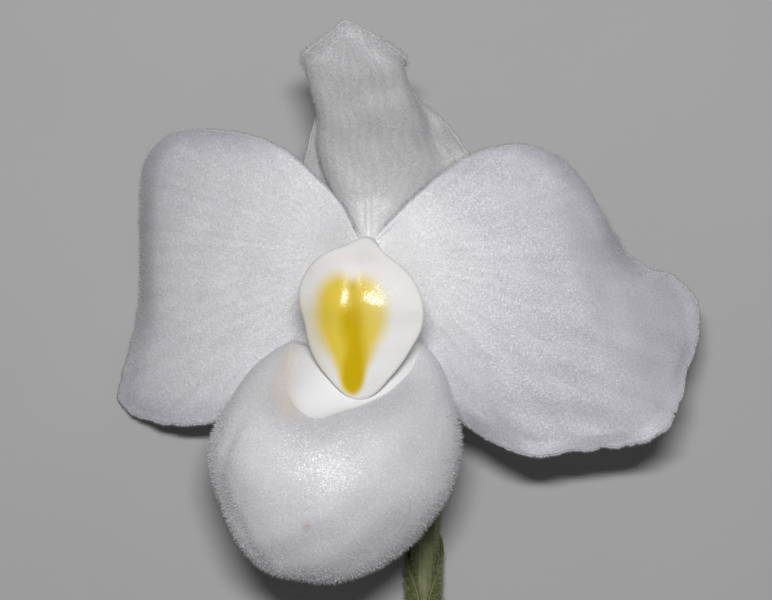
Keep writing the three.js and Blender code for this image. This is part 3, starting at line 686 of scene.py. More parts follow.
def petal_grid(petal, height, seed):
    """The blade's middle surface, its veins and the place of each column along the outline."""
    s = places([0, 0.002, 0.006, 0.011], 0.018, 0.982, 190, [0.989, 0.994, 0.998, 1])
    q = blade_rows()
    margin = Curve(petal["outline"])
    run = unit(margin.at(s + 1 / 36) - margin.at(s - 1 / 36))
    outward = petal["side"] * stacked(-run[:, 1], run[:, 0])
    at_margin = (s * margin.length)[:, None]
    ragged = 0.7 * ripple(at_margin, 4.5, seed) + 0.3 * ripple(at_margin, 2.0, seed + 1)
    ragged = ragged * through(petal["ragged"], s)
    edge = margin.at(s)
    curl = np.radians(through(petal["curl"], s))
    curl = np.where(np.abs(curl) < 1e-6, 1e-6, curl)
    claw = np.stack([(1 - s) * a + s * b for a, b in zip(*petal["claw"])], axis=-1)
    strip = np.minimum(through(petal["strip"], s), 0.16 * size(edge - claw))
    foot = edge - outward * (strip * np.sin(np.minimum(curl, np.pi / 2)) / curl)[:, None]
    t = np.minimum(q / FOOT, 1)[:, None]
    past = (np.maximum(q - FOOT, 0) / (EDGE - FOOT))[:, None]
    out = strip * np.sin(curl * past) / curl + ragged * ramp(q, 8.6, EDGE)[:, None]
    down = strip * (1 - np.cos(curl * past)) / curl
    xy = claw + (foot - claw) * t[..., None] + outward * out[..., None]

    to_edge = edge - claw
    heading = np.unwrap(np.arctan2(to_edge[:, 1], petal["side"] * to_edge[:, 0]))
    turning = np.abs(np.interp(s + 0.02, s, heading) - np.interp(s - 0.02, s, heading)) / 0.04
    clear = ramp(s, 0.04, 0.2) * ramp(1 - s, 0.04, 0.2) * ramp(turning, 0.3, 1.6)
    wave = petal["wave"] * clear * ramp(t + past, 0.7, 2) * np.sin(2 * np.pi * 7 * s)
    z = height(xy[..., 0], xy[..., 1]) - petal["tuck"] * tuck_behind_lip(xy) - down + wave
    from_claw = xy - claw.mean(axis=0)
    bearing = np.arctan2(from_claw[..., 1], petal["side"] * from_claw[..., 0])
    vein = np.sin(70 * bearing + 1.2 * ripple(xy / 6, 1.0, seed + 2)) * ramp(t, 0.1, 0.4)
    away = from_point(xy, (0, 0))
    rays = ripple(stacked(bearing * 26, away / 9), 2.2, seed + 5, 24)
    z = z + 0.014 * vein * np.minimum(away / 30, 1)
    z = z + 0.05 * ripple(xy, 7.0, seed + 3) * ramp(t, 0.1, 0.5)
    vein = 0.4 * vein + 0.6 * rays * ramp(t, 0.05, 0.3)
    return np.concatenate([xy, z[..., None]], axis=-1), vein, s


def petal_piece(name, petal, height, seed):
    grid, vein, s = petal_grid(petal, height, seed)
    grid[..., 2] = keep_above_surface(grid[..., 2], 0.4)
    distance = distance_to(grid[-1, ::2, :2], grid[..., :2])
    thickness = 0.9 - 0.6 * (1 - ramp(distance, 0, 9))
    x, y, wide, high = petal["painted_shade_and_light"]
    fields = {
        "vein": vein,
        "thin": thinness_and_painted_shade(grid, distance, *petal["thin"]),
        # Painted light near the claw against the shade by the column, partly also paler tissue.
        "pale": 0.8 * bell(from_point(grid, (0, -2)), 8),
        # Painted shade where the margin rolls back from the light.
        "painted_shade_and_light": bell(grid[..., 0] - x, wide) * bell(grid[..., 1] - y, high),
    }
    body = sheet(grid, thickness, fields, 0.22)
    new_piece(name + "_blade", body, PETAL_TISSUE, name)
    rng = np.random.default_rng(seed)
    density = 1 + 2.5 * both_faces(bell(edge_distance(grid), 3.0))
    roots, normals = scatter(body, rng, 9000, density)
    lengths = rng.uniform(0.25, 0.55, len(roots))
    at = np.sort(rng.uniform(0.02, 0.98, 5200))
    roots = np.vstack([roots, between(at, s, grid[-1])])
    outward = unit(between(at, s, unit(grid[-1] - grid[-7])))
    directions = np.vstack([normals, outward])
    lengths = joined(lengths, rng.uniform(0.3, 0.72, len(at)))
    hairs(name + "_hairs", rng, roots, directions, lengths, 0.28)


petal_piece("petal_left", LEFT_PETAL, left_height, 11)
petal_piece("petal_right", RIGHT_PETAL, right_height, 23)


# ---- Dorsal sepal ----
# Cross-sections stand on the midrib from the claw to the tip. Each runs out from the midrib for its reach.
# Its slope grows to a peak at the fold, and changes past the fold to what it stays at up to the edge.
MIDRIB = [
    [0.5, 1.6, 1.4], [0.3, 6.5, 1.2], [-0.1, 11, 2.3], [-0.6, 14.6, 3.7], [-1.05, 18.2, 5.3],
    [-1.6, 22.3, 7], [-2, 25, 8.2], [-2.2, 26.7, 8.9], [-2.45, 28.9, 9.7], [-2.7, 31.5, 10.5],
]
LEFT_REACH = [2.3, 9.2, 11.5, 11, 9.8, 10.8, 11.7, 7.7, 3.4, 0.12]
RIGHT_REACH = [2.5, 10.5, 15.7, 15.4, 15.3, 14.5, 14, 8.6, 4.5, 0.12]
# The slope's start and the fold as shares of the reach, then the slope in degrees at the fold and past it.
LEFT_FOLD = [
    [0.05, 0.55, 46, 30], [0.1, 0.6, 74, 8], [0.2, 0.67, 88, 12], [0.25, 0.78, 100, 4],
    [0.28, 0.76, 100, 55], [0.28, 0.76, 102, 125], [0.25, 0.76, 100, 130], [0.3, 0.85, 48, 62],
    [0.1, 0.8, 14, 26], [0, 0.8, 0, 0],
]
RIGHT_FOLD = [
    [0.1, 0.7, 26, 18], [0.15, 0.7, 26, 10], [0.15, 0.65, 24, 0], [0.2, 0.66, 44, 2],
    [0.28, 0.77, 78, 16], [0.28, 0.75, 98, 86], [0.25, 0.76, 100, 125], [0.3, 0.85, 44, 54],
    [0.1, 0.8, 14, 24], [0, 0.8, 0, 0],
]
FOLD_SOFTNESS = 0.16
SECTION_STEPS = 300


def across_section(reach, folds, u, share):
    """Offset across and down at each share of the way from the midrib to the edge, one row for each u."""
    fine = np.linspace(0, 1, SECTION_STEPS + 1)
    start, fold, peak, past = through(folds, u).T[:, :, None]
    slope = peak * ramp(fine, start, fold)
    slope = np.radians(slope + (past - peak) * ramp(fine, fold, fold + FOLD_SOFTNESS))
    step = through(reach, u)[:, None] / SECTION_STEPS
    totals = []
    for part in (np.cos(slope), np.sin(slope)):
        middle = (part[:, 1:] + part[:, :-1]) / 2
        run = np.concatenate([np.zeros((len(u), 1)), np.cumsum(middle, axis=1)], axis=1) * step
        totals.append(np.array([np.interp(share, fine, row) for row in run]))
    return totals


def dorsal_grid():
    u = places([0, 0.004, 0.01], 0.018, 0.985, 116, [0.991, 0.996, 1])
    v = joined(np.linspace(0, 1, 66)[:-1], [0.99, 0.995, 0.998, 1])
    left_out, left_down = across_section(LEFT_REACH, LEFT_FOLD, u, v)
    right_out, right_down = across_section(RIGHT_REACH, RIGHT_FOLD, u, v)
    out = np.concatenate([-left_out[:, :0:-1], right_out], axis=1)
    down = np.concatenate([left_down[:, :0:-1], right_down], axis=1)
    midrib = through(MIDRIB, u)[:, None]
    grid = midrib + stacked(out, 0 * out, -down)
    return grid, u, joined(-v[:0:-1], v)


def below_claw(grid):
    """Rows that carry the dorsal sepal's foot on, in behind the column."""
    middle = grid[0, grid.shape[1] // 2]
    foot = middle + [-0.1, -1.8, 0.5] + (grid[0] - middle) * [0.85, 0.4, 1]
    return np.stack([foot + (grid[0] - foot) * k for k in (0, 0.25, 0.5, 0.75)])


def dorsal_piece():
    grid, u, side = dorsal_grid()
    flat = grid[..., :2]
    vein = np.sin(18 * np.pi * side + 0.8 * ripple(flat / 6, 1.0, 41)) * ramp(u, 0.03, 0.2)[:, None]
    grid[..., 2] += 0.010 * vein + 0.06 * ripple(flat, 6.0, 42)
    added = below_claw(grid)
    grid = joined(added, grid)
    vein = joined(np.zeros((len(added), vein.shape[1])), vein)
    u = joined([-0.04, -0.03, -0.02, -0.01], u)
    x, y = grid[..., 0], grid[..., 1]
    ridges = bell(x - 0.5, 0.4) + 0.45 * bell(x - 1.8, 0.35) + 0.3 * bell(x + 0.8, 0.4)
    grid[..., 2] += 0.2 * ridges * bell(y, 9)
    edge = edge_distance(grid, first=False)
    thickness = 0.9 - 0.4 * (1 - ramp(edge, 0, 7))
    thickness = thickness * (0.3 + 0.7 * ramp(31.5 - y, -0.2, 2.5))
    # Greyer where the tissue is thin, and painted shade across the middle where the sepal tilts from the
    # light; painted light towards the tip.
    thin = 0.55 + 0.45 * ramp(from_point(grid, (0, 0)), 4, 19) + 0.4 * bell(edge, 3.0)
    fields = {
        "vein": vein,
        "thin": thin - 0.25 * ramp(y, 24, 30),
        # Painted light at the foot, against the shade by the column and shield.
        "pale": 0.75 * bell(from_point(grid, (0, 0.5)), 3.5),
        # Painted shade on the right flare, and painted light in the fold beside it where the field is
        # negative.
        "painted_shade_and_light": 0.8 * bell(from_point(grid, (12.6, 15)), 3.5) - 0.5 * bell(from_point(grid, (8.8, 17.6)), 2),
    }
    body = sheet(grid, thickness, fields)
    new_piece("dorsal_sepal_blade", body, DORSAL_TISSUE, "dorsal_sepal")

    rng = np.random.default_rng(43)
    density = 1 + 2.2 * both_faces(bell(edge_distance(grid), 2.5) + 1.4 * ramp(y, 24, 31))
    roots, normals = scatter(body, rng, 9000, density)
    lengths = rng.uniform(0.25, 0.5, len(roots)) * (1 + 0.5 * ramp(roots[:, 1], 22, 30))
    hairs("dorsal_sepal_hairs", rng, roots, normals, lengths, 0.3)

    roots, directions = [], []
    for column, beside in ((0, 5), (-1, -6)):
        at = joined(rng.uniform(0.02, 0.74, 1100), rng.uniform(0.74, 1, 170))
        roots.append(between(at, u, grid[:, column]))
        directions.append(between(at, u, unit(grid[:, column] - grid[:, beside])))
    roots, directions = np.vstack(roots), np.vstack(directions)
    top = ramp(roots[:, 1], 24.5, 26.5)
    directions += top[:, None] * [0.0, 1.1, 0.3]
    longer = 1 + 0.8 * top - 0.9 * ramp(roots[:, 1], 28.8, 30.6)
    lengths = rng.uniform(0.3, 0.65, len(roots)) * longer
    hairs("dorsal_sepal_fringe", rng, roots, directions, lengths, 0.4, 0.12)


dorsal_piece()

# ---- Synsepal ----
SYNSEPAL_WIDTH = [2.8, 7, 10.5, 12, 11.4, 8.6, 1.2]
SYNSEPAL_DROP = [-1.45, -4.5, -6.4, -8, -8.8, -9.3, -9.4]


def synsepal_piece():
    u = places([0, 0.008, 0.02], 0.035, 0.98, 60, [0.988, 0.994, 1])[:, None]
    w = places([0, 0.006, 0.015], 0.03, 0.97, 60, [0.985, 0.994, 1])[None, :]
    across = (2 * w - 1) * through(SYNSEPAL_WIDTH, u[:, 0])[:, None]
    y = -3.5 - 31 * np.sin(u * np.pi / 2) ** 1.1 + 0 * w
    z = through(SYNSEPAL_DROP, u[:, 0])[:, None] + 0.016 * across**2 * u
    grid = stacked(0.8 + 1.6 * u + across, y, z)
    vein = np.sin(2 * np.pi * 10 * w) * ramp(u, 0.05, 0.3)
    grid[..., 2] += 0.04 * vein + 0.12 * ripple(grid[..., :2], 6.0, 51) * ramp(u, 0.1, 0.5)
    edge = edge_distance(grid)
    thickness = 0.8 - 0.3 * (1 - ramp(edge, 0, 5))
    body = sheet(grid, thickness, {"vein": vein, "thin": 0.3 + 0.5 * bell(edge, 2.5)})
    new_piece("synsepal_blade", body, PETAL_TISSUE, "synsepal")
    rng = np.random.default_rng(52)
    roots, normals = scatter(body, rng, 6000, 1 + 4 * both_faces(bell(edge, 1.5)))
    hairs("synsepal_hairs", rng, roots, normals, rng.uniform(0.3, 0.6, len(roots)), 0.3)


synsepal_piece()

# ---- Lip ----
# The pouch's radius every 30 degrees round it from its right.
LIP_RADIUS = [17, 18.7, 21.2, 20.9, 18.9, 18.2, 18.3, 17.4, 18.1, 17, 16.1, 15.6]
# How far up the pouch the rim is, in degrees, every 15 degrees round from the front by the right.
LIP_RIM = [
    20.3, 27.5, 39.3, 50.5, 57.5, 61, 63, 68, 72, 75, 78, 81,
    83, 81, 78, 75, 72, 68, 64, 62, 59, 49.5, 28.5, 18.3,
]
LIP_LEAN = math.radians(-8.5)
# The rim folds in and runs on as a funnel inside the mouth. Every 30 degrees round from the front by the
# right: the fold's radius and turn in degrees, and how far the funnel runs towards its throat.
FOLD_RADIUS = [0.5, 0.5, 0.6, 0.8, 1.0, 1.2, 1.2, 1.2, 1.6, 2.4, 2.4, 0.9]
FOLD_TURN = [44, 34, 36, 60, 90, 60, 30, 60, 85, 75, 46, 26]
FUNNEL = [0.72, 0.72, 0.64, 0.45, 0.1, 0.02, 0.02, 0.02, 0.1, 0.5, 0.72, 0.74]
THROAT = np.array([-0.6, -15.0, 10.6])
WALL_ROWS = 104
# Lines and places of the view: the crease, the dimples with their width and depth (negative where the skin
# swells), the blush along the rim's left side and the duller strip below the rim.
GROOVE = [(250, 408), (236, 430), (226, 455), (221, 478), (226, 500), (243, 527), (251, 545), (268, 570)]
DIMPLES = [
    ((395, 520), 2.6, 0.16), ((425, 470), 2.2, 0.1), ((300, 545), 3.0, 0.12),
    ((262, 470), 2.4, 0.08), ((346, 506), 6.5, -0.45), ((380, 460), 6.0, -0.18),
]
BLUSH = [(290, 352), (282, 375), (281, 393), (287, 408)]
BELOW_RIM = [(282, 402), (297, 419), (318, 424), (345, 417), (382, 402), (402, 390)]


def lip_point(turn, up):
    """The pouch's skin at a turn from the front towards the right and an angle up, both in degrees."""
    turn, up = np.radians(turn), np.radians(up)
    x, y, z = np.cos(up) * np.sin(turn), np.sin(up), np.cos(up) * np.cos(turn)
    angle = np.degrees(np.arctan2(y, x))
    claw = bell(angle - 90, 11) * (1 - ramp(z, -0.1, 0.5))
    radius = around(LIP_RADIUS, angle) + 8.4 * claw
    swell = np.where(x > 0, 1.9, 2.4) * x * x - 2.2 * np.maximum(x - 0.3, 0) ** 2
    swell = (swell - 1.3 * x - 2.5 * y - 3.4 * y * y) * z * z
    depth = np.where(z > 0, 12, 11) * z - 2.2 * claw * np.hypot(x, y) ** 12 + np.where(z > 0, swell, 0)
    px, py = radius * x, radius * y
    c, s = math.cos(LIP_LEAN), math.sin(LIP_LEAN)
    return stacked(px * c - py * s, px * s + py * c, depth) + LIP_CENTRE


def lip_grid(turn, fold, rolled):
    """The pouch's outer side in rows: up the funnel to the rim's fold, over it and down the wall."""
    rim = around(LIP_RIM, turn) - 3.2 * (fold - 1.2)
    edge = lip_point(turn, rim)
    up = unit(edge - lip_point(turn, rim - 1))
    side = unit(lip_point(turn + 1, rim) - lip_point(turn - 1, rim))
    outward = unit(np.cross(side, up))
    bend = rolled * np.linspace(1, 0, 12, endpoint=False)[:, None]
    fold_rows = edge + up * (fold * np.sin(bend))[..., None]
    fold_rows = fold_rows - outward * (fold * (1 - np.cos(bend)))[..., None]
    inward = up * np.cos(rolled)[:, None] - outward * np.sin(rolled)[:, None]
    reach = joined([1, 0.99, 0.97, 0.94], np.linspace(0.88, 0, 22, endpoint=False))[:, None]
    run = (THROAT - fold_rows[0]) * around(FUNNEL, turn)[:, None]
    straight = inward * size(run)[..., None]
    eased = (reach * (1 - reach) ** 1.5)[..., None]
    funnel_rows = fold_rows[0] + run * reach[..., None] + (straight - run) * eased
    funnel_rows[..., 2] += 5.5 * reach * (1 - reach) * bell(turn - 50, 45)
    fall = np.linspace(0, 1, WALL_ROWS, endpoint=False)[:, None]
    wall = lip_point(turn + 0 * fall, rim + (-90 - rim) * fall)
    return joined(funnel_rows, fold_rows, wall)


def lip_relief(grid):
    """How far the pouch's skin stands out, or sinks in where it is negative."""
    flat = grid[..., :2]
    front = ramp(grid[..., 2], LIP_CENTRE[2] - 4, LIP_CENTRE[2] + 3)
    away = distance_to(seen_path(GROOVE, 8, 12), flat)
    relief = (0.06 * bell(away - 1.4, 0.9) - 0.14 * bell(away, 0.7)) * ramp(-flat[..., 1], 22, 27)
    for pixel, width, depth in DIMPLES:
        relief = relief - depth * near(flat, pixel, 12, width)
    down_wall = joined(np.zeros(len(grid) - WALL_ROWS), np.linspace(0, 1, WALL_ROWS))[:, None]
    return relief * front + 0.10 * ripple(grid, 8.0, 61) * ramp(down_wall, 0.0, 0.12)


def lip_fields(points, inner):
    """The shares of the lip's colours at each point. inner is 1 on the inside."""
    at, high = points[:, :2], points[:, 2]
    outside = ramp(high, 4, 9)
    # Darker in a strip below the rim; painted shade on the pouch's right side and lower right.
    duller_and_painted_shade = bell(distance_to(seen_path(BELOW_RIM, 12, 20), at), 3.4) * outside
    duller_and_painted_shade = duller_and_painted_shade + 0.4 * near(at, (434, 452), 10, 6) + 0.35 * near(at, (392, 538), 8, 7)
    plain = 0.8 * near(at, (293, 346), 12, 3.4) + 0.65 * near(at, (290, 378), 12, 2.7)
    # A pinkish-brown dot on the pouch, and a painted shadow in the gap under the shield's tip.
    dot_and_painted_shadow = near(at, (307, 526), 14, 0.55) + 1.5 * near(at, (358, 402), 13, 0.22)
    return {
        "inner": inner * (1 - np.minimum(plain, 1)),
        "blush": bell(distance_to(seen_path(BLUSH, 12, 20), at), 1.7) * outside,
        "dot_and_painted_shadow": dot_and_painted_shadow * (high > 6),
        "duller_and_painted_shade": duller_and_painted_shade,
    }


def lip_piece():
    columns = 224
    turn = np.arange(columns) / columns * 360 - 180
    fold, rolled = around(FOLD_RADIUS, turn), np.radians(around(FOLD_TURN, turn))
    grid = lip_grid(turn, fold, rolled)
    grid = grid - grid_normals(grid, wraps=True) * lip_relief(grid)[..., None]
    from_rim = edge_distance(grid, last=False, columns=False)
    thickness = (1.0 - 0.35 * (1 - ramp(from_rim, 0, 5))) * rounding(from_rim, 0.3)
    thickness[0] = 0
    inner = grid + grid_normals(grid, wraps=True) * thickness[..., None]

    below_fold = from_rim - from_rim[len(grid) - WALL_ROWS] + 0.5 * fold * rolled + 1.7 * bell(turn + 86, 30)
    blend = 0.16 + 2.4 * bell(turn + 84, 32) + 0.4 * bell(turn - 78, 38)
    inner_side = ramp(-below_fold / blend, -1, 1)
    on_inside = joined(inner_side.ravel(), np.ones(inner[1:, :, 0].size), [0, 1])
    toe = lip_point(0.0, -90.0)
    body = two_sided(grid, inner, [toe, toe + [0, 1.0, 0]], lambda points: lip_fields(points, on_inside))
    new_piece("lip_pouch", body, LIP_TISSUE, "lip")

    rng = np.random.default_rng(62)
    y = body.points[:, 1]
    density = np.where(on_inside > 0.5, 0.0, 1.0) * (1 + 0.3 * ramp(-y, 38, 48))
    density = density * (1 - 0.92 * ramp(body.normals()[:, 2], 0.45, 0.85)) * ramp(-y, 21, 27)
    roots, normals = scatter(body, rng, 12000, density)
    lengths = rng.uniform(0.3, 0.8, len(roots)) * (1 - 0.6 * ramp(normals[:, 2], 0.35, 0.85))
    hairs("lip_hairs", rng, roots, normals, lengths, 0.3, 0.1)


lip_piece()

# ---- Staminode ----
SHIELD_CENTRE = np.array([-0.6, -11.1])
SHIELD_RADIUS = [8.9, 9.5, 9.9, 10.6, 10.9, 9.9, 7.9, 8.0, 9.0, 10.9, 8.8, 8.1]
SHIELD_TOP, SHIELD_THICKNESS = 15.4, 1.3
MARK_HEIGHT = 14.8
MARK_OUTLINE = [
    (351, 281), (345, 276), (335, 275), (325, 281), (319, 291), (316, 305), (316, 322), (320, 337),
    (326, 349), (332, 359), (337, 370), (340, 382), (344, 391), (352, 395.5), (359, 392), (363.5, 384),
    (366, 372), (371, 360), (376, 347), (383, 333), (387, 318), (386, 304), (381, 290), (374, 281),
    (364, 277), (356, 279),
]
DEEP_OUTLINE = [
    (351.5, 284), (349.5, 296), (348, 308), (342, 314), (341, 326), (344, 340), (345, 352), (343, 366),
    (343, 380), (347, 390), (353, 393.5), (359, 389), (363, 378), (364.5, 364), (364, 350), (363, 338),
    (362, 326), (360, 314), (357, 302), (355.5, 290), (354.5, 284),
]


def shield_height(x, y):
    """The shield's upper side: an arch with a groove down its middle and an upper tab that bends down."""
    fall = y - 2.4
    arch = np.where(fall > 0, 0.07 / (1 + np.abs(fall) / 6), 0.0105) * fall**2
    arch = arch + np.where(fall < 0, 0.5 * (1 - bell(fall, 2.3)), 0)
    arch = arch + np.where(x < 0, 0.05, 0.018) * x**2 * (1 - bell(x, 3.8))
    groove = 0.65 * np.exp(-np.hypot(x + 0.9, 0.4) / 0.9) * ramp(9.6 - y, 0, 5.5) * bell(y + 1, 9)
    return SHIELD_TOP - arch - groove - 2.0 * ramp(y, 7.5, 12.5) * bell(x, 3.5)


def shield_fields(points):
    """The shares of the shield's colours at each point."""
    x, y = points[:, 0], points[:, 1]
    sharper = 1 - 0.65 * (1 - ramp(y, -19.5, -13))

    def soft_area(outline, softness):
        path = seen_path([*outline, outline[0]], MARK_HEIGHT, 10)
        signed = np.where(inside(path, points[:, :2]), 1.0, -1.0) * distance_to(path, points[:, :2])
        return ramp(signed, -softness * sharper, softness * sharper)

    across = x - SHIELD_CENTRE[0]
    matte = bell(across + 0.9, 0.6) * ramp(y, -12, -10)
    return {
        "mark": soft_area(MARK_OUTLINE, 1.4),
        "deep": soft_area(DEEP_OUTLINE, 1.1),
        "fading": ramp(x, -1.2, 2.6) * ramp(y, -15, -7),
        "rosy": ramp(y, -6, -2.6) * (1 - ramp(y, -2.2, -0.6)),
        "cream": ramp(-x, 4.6, 7.6) * ramp(-y, 6, 10),
        "matte": matte + 0.8 * bell(across + 1.4, 0.9) * ramp(y, -6.9, -6),
    }


def staminode_piece():
    spokes = 132
    share = joined([1, 0.997, 0.99, 0.98, 0.967, 0.95], np.linspace(0.93, 0, 44)[:-1])[:, None]
    angle = (np.arange(spokes) / spokes * 360)[None, :]
    r = share * (around(SHIELD_RADIUS, angle) + 1.5 * bell(angle - 86, 11))
    x, y = r * np.cos(np.radians(angle)), r * np.sin(np.radians(angle))
    z = shield_height(x, y) + 0.02 * ripple(stacked(x, y), 4.0, 71)
    thickness = SHIELD_THICKNESS * (1 - 0.76 * share**5)
    rounded = 1 - rounding(1 - share, 0.04)
    x, y = x + SHIELD_CENTRE[0], y + SHIELD_CENTRE[1]
    upper = stacked(x, y, z - 0.85 * thickness * rounded)
    lower = stacked(x, y, z - thickness + 0.15 * thickness * rounded)
    top = np.array([*SHIELD_CENTRE, shield_height(0, 0)])
    body = two_sided(upper, lower, [top, top - [0, 0, SHIELD_THICKNESS]], shield_fields)
    new_piece("staminode_shield", body, SHIELD_TISSUE, "staminode")


staminode_piece()


# ---- Column and anthers ----
def merged(bodies, voxel_mm):
    """One skin, as a Body, round several bodies that run into each other."""
    faces = []
    starts = np.cumsum([0] + [len(body.points) for body in bodies])
    for lists in ([body.quads for body in bodies], [body.extra for body in bodies]):
        for rows, start in zip(lists, starts):
            faces += [tuple(f) for f in rows + start]
    raw = bpy.data.meshes.new("raw")
    raw.from_pydata(np.vstack([body.points for body in bodies]).tolist(), [], faces)
    helper = placed("raw", raw)
    remesh = helper.modifiers.new("remesh", "REMESH")
    remesh.mode, remesh.voxel_size = "VOXEL", voxel_mm
    smooth = helper.modifiers.new("smooth", "SMOOTH")
    smooth.factor, smooth.iterations = 0.5, 6
    result = helper.evaluated_get(bpy.context.evaluated_depsgraph_get()).to_mesh()
    co = np.empty(len(result.vertices) * 3)
    result.vertices.foreach_get("co", co)
    faces = [tuple(p.vertices) for p in result.polygons]
    bpy.data.objects.remove(helper)
    return Body(co.reshape(-1, 3), [f for f in faces if len(f) == 4], [f for f in faces if len(f) == 3])


def column_piece():
    stalk_path = [[0, -0.6, -1.85], [0, -0.8, 1.5], [-0.1, -1.6, 4.6], [-0.3, -3.4, 7.6], [-0.5, -6.1, 11.6]]
    head_path = [[-0.3, -5.8, 12], [-0.1, -3.6, 10.8], [0.05, -2, 9.4], [0.1, -1.9, 4], [0.1, -1.8, -1.5]]
    stigma = [-0.4, -7.6, 6.4]
    parts = [
        tube(Curve(stalk_path), [1.8, 1.7, 1.7, 1.9, 1.7], 40, 32),
        ellipsoid(stigma, [2.6, 2.3, 0.9], 30),
        tube(Curve([[-0.2, -2.6, 6.2], stigma]), [0.9, 0.9], 12, 24),
        tube(Curve(head_path), [1.3, 1.9, 2.1, 2.1, 2.1], 40, 32),
        ellipsoid([0.2, -1.3, 8.0], [2.1, 2.4, 2.2]),
        ellipsoid([0.1, -1.0, -2.6], [3.2, 2.8, 1.6]),
    ]
    new_piece("column_body", merged(parts, 0.16), COLUMN_TISSUE, "column")


def anther_piece(name, side):
    centre = np.array([-0.25 + side * 3.3, -4.2, 7.0])
    halves = [ellipsoid(centre + [0, dy, 0], [0.95, 0.85, 1.15]) for dy in (-0.55, 0.6)]
    stub = tube(Curve([[-0.25 + side * 1.7, -3.4, 6.4], centre]), [0.55, 0.55], 12, 20)
    new_piece(name + "_sac", merged([*halves, stub], 0.09), POLLEN, name)


column_piece()
anther_piece("anther_left", -1)
anther_piece("anther_right", 1)

# ---- Ovary, bract and stem ----
OVARY = Curve([
    [0.2, -0.3, -2.4], [0.22, -0.34, -4], [0.9, -1.3, -6.8], [3, -4.8, -12], [5.8, -10.8, -15.3],
    [7.8, -18, -16.3], [9, -27, -16.4], [9, -37, -16.5], [8.8, -46, -16.3], [8.7, -54.8, -16.2],
])
OVARY_RADIUS = [3.2, 2.45, 2.4, 2.55, 2.7, 2.7, 2.4, 1.95, 1.85]
STEM_PATH = [[8.7, -55.25, -16.2], [8, -65, -16.4], [6.4, -80, -16.6], [4.7, -96, -16.7], [3.1, -112, -16.7]]
STEM_RADIUS = [2.75, 2.45, 2.35, 2.35, 2.4]
BRACT_WRAP = [172, 166, 146, 116, 82, 46, 8]  # half the turn that the sheath covers, in degrees
BRACT_LENGTH, BRACT_THICKNESS, BRACT_CLEARANCE = 14, 0.5, 0.575


def rest_flat(body):
    body.points[:, 2] = np.maximum(body.points[:, 2], SURFACE_Z)
    return body


def green_hairs(name, body, seed, count, shortest, longest):
    rng = np.random.default_rng(seed)
    roots, normals = scatter(body, rng, count)
    hairs(name, rng, roots, normals, rng.uniform(shortest, longest, count), 0.35, 0.07, GREEN_HAIR)


def ovary_piece():
    angle = np.radians(np.arange(0, 360, 5))
    ribs = 0.05 * np.cos(6 * angle) + 0.018 * np.cos(12 * angle + 1)
    body = tube(OVARY, OVARY_RADIUS, 130, len(angle), ribs)
    body.fields["white"] = ramp(body.points[:, 2], -6.5, -3.0)
    new_piece("ovary_body", rest_flat(body), OVARY_GREEN, "ovary")
    green_hairs("ovary_hairs", body, 81, 9000, 0.3, 0.7)


def stem_piece():
    body = tube(Curve(STEM_PATH), STEM_RADIUS, 110, 48)
    body.points += 0.05 * ripple(body.points, 3.0, 91)[:, None] * unit(body.normals())
    new_piece("stem_stalk", rest_flat(body), STEM_GREEN, "stem")
    green_hairs("stem_hairs", body, 92, 8000, 0.3, 0.75)


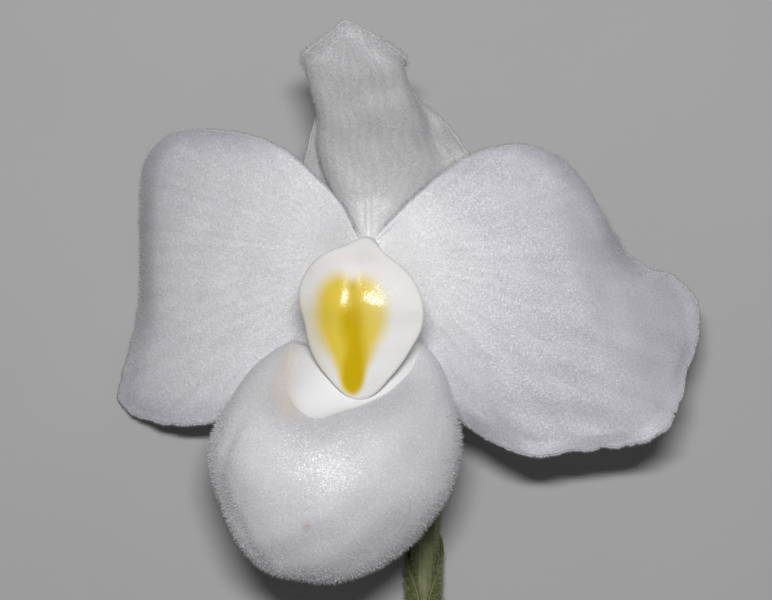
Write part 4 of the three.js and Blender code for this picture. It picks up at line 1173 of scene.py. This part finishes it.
def bract_piece():
    u = places([0, 0.01, 0.025], 0.05, 0.97, 50, [0.985, 0.994, 1])
    w = places([0, 0.004, 0.01], 0.02, 0.98, 66, [0.99, 0.996, 1])
    at = 1 - (0.1 + u * BRACT_LENGTH) / OVARY.length
    centre, along = OVARY.at(at), OVARY.tangent(at)
    across = unit(np.cross([0.0, 0.0, 1.0], along))
    upward = np.cross(along, across)
    r = through(OVARY_RADIUS, at) * 1.05 + BRACT_CLEARANCE + 0.2 * u * u
    angle = np.radians(180 + (2 * w[None, :] - 1) * through(BRACT_WRAP, u)[:, None])[..., None]
    ring = upward[:, None] * np.cos(angle) + across[:, None] * np.sin(angle)
    grid = centre[:, None] + r[:, None, None] * ring
    rib = np.sin(2 * np.pi * 13 * w)[None, :] * ramp(u, 0, 0.2)[:, None]
    grid = grid + grid_normals(grid) * (0.02 * rib)[..., None]
    grid[..., 2] = keep_above_surface(grid[..., 2], 0.28, 0.12)
    body = sheet(grid, np.full(grid.shape[:2], BRACT_THICKNESS), round_width=0.25)
    new_piece("bract_sheath", body, BRACT_GREEN, "bract")
    green_hairs("bract_hairs", body, 95, 2500, 0.25, 0.6)


ovary_piece()
stem_piece()
bract_piece()


# ---- Floor and light ----
FLOOR_HALF = 1.5
FLOOR_TONE = (0.46, 0.46, 0.465)
FLOOR_DROP = 0.0001
KEY_PLACE = CAMERA + [0, 85, 10]
KEY_TARGET = [0, -5, 0]
KEY_SIZE = (0.13, 0.026)  # metres
KEY_WATTS = 1.46
WORLD_STRENGTH = 0.08


def floor():
    mesh = bpy.data.meshes.new("floor")
    corners = [(x * FLOOR_HALF, y * FLOOR_HALF, 0) for x, y in ((-1, -1), (1, -1), (1, 1), (-1, 1))]
    mesh.from_pydata(corners, [], [(0, 1, 2, 3)])
    g = Graph("floor_board")
    g.set(Base_Color=g.scale(FLOOR_TONE, g.grain(0.99, 1.01, 30, 3.0)), Roughness=0.9)
    mesh.materials.append(g.material)
    plane = placed("floor", mesh)
    plane.location.z = -FLOOR_DROP


def key_light():
    lamp = bpy.data.lights.new("key", "AREA")
    lamp.shape, lamp.energy = "ELLIPSE", KEY_WATTS
    lamp.size, lamp.size_y = KEY_SIZE
    lit = placed("key", lamp)
    lit.location = Vector(metres(KEY_PLACE))
    aim = Vector(metres(KEY_TARGET)) - lit.location
    lit.rotation_mode = "QUATERNION"
    lit.rotation_quaternion = aim.to_track_quat("-Z", "Y")


floor()
key_light()
world = bpy.data.worlds.new("studio")
bpy.context.scene.world = world
world.use_nodes = True
world.node_tree.nodes["Background"].inputs["Color"].default_value = (1, 1, 1, 1)
world.node_tree.nodes["Background"].inputs["Strength"].default_value = WORLD_STRENGTH
bpy.context.scene.view_settings.view_transform = "Standard"
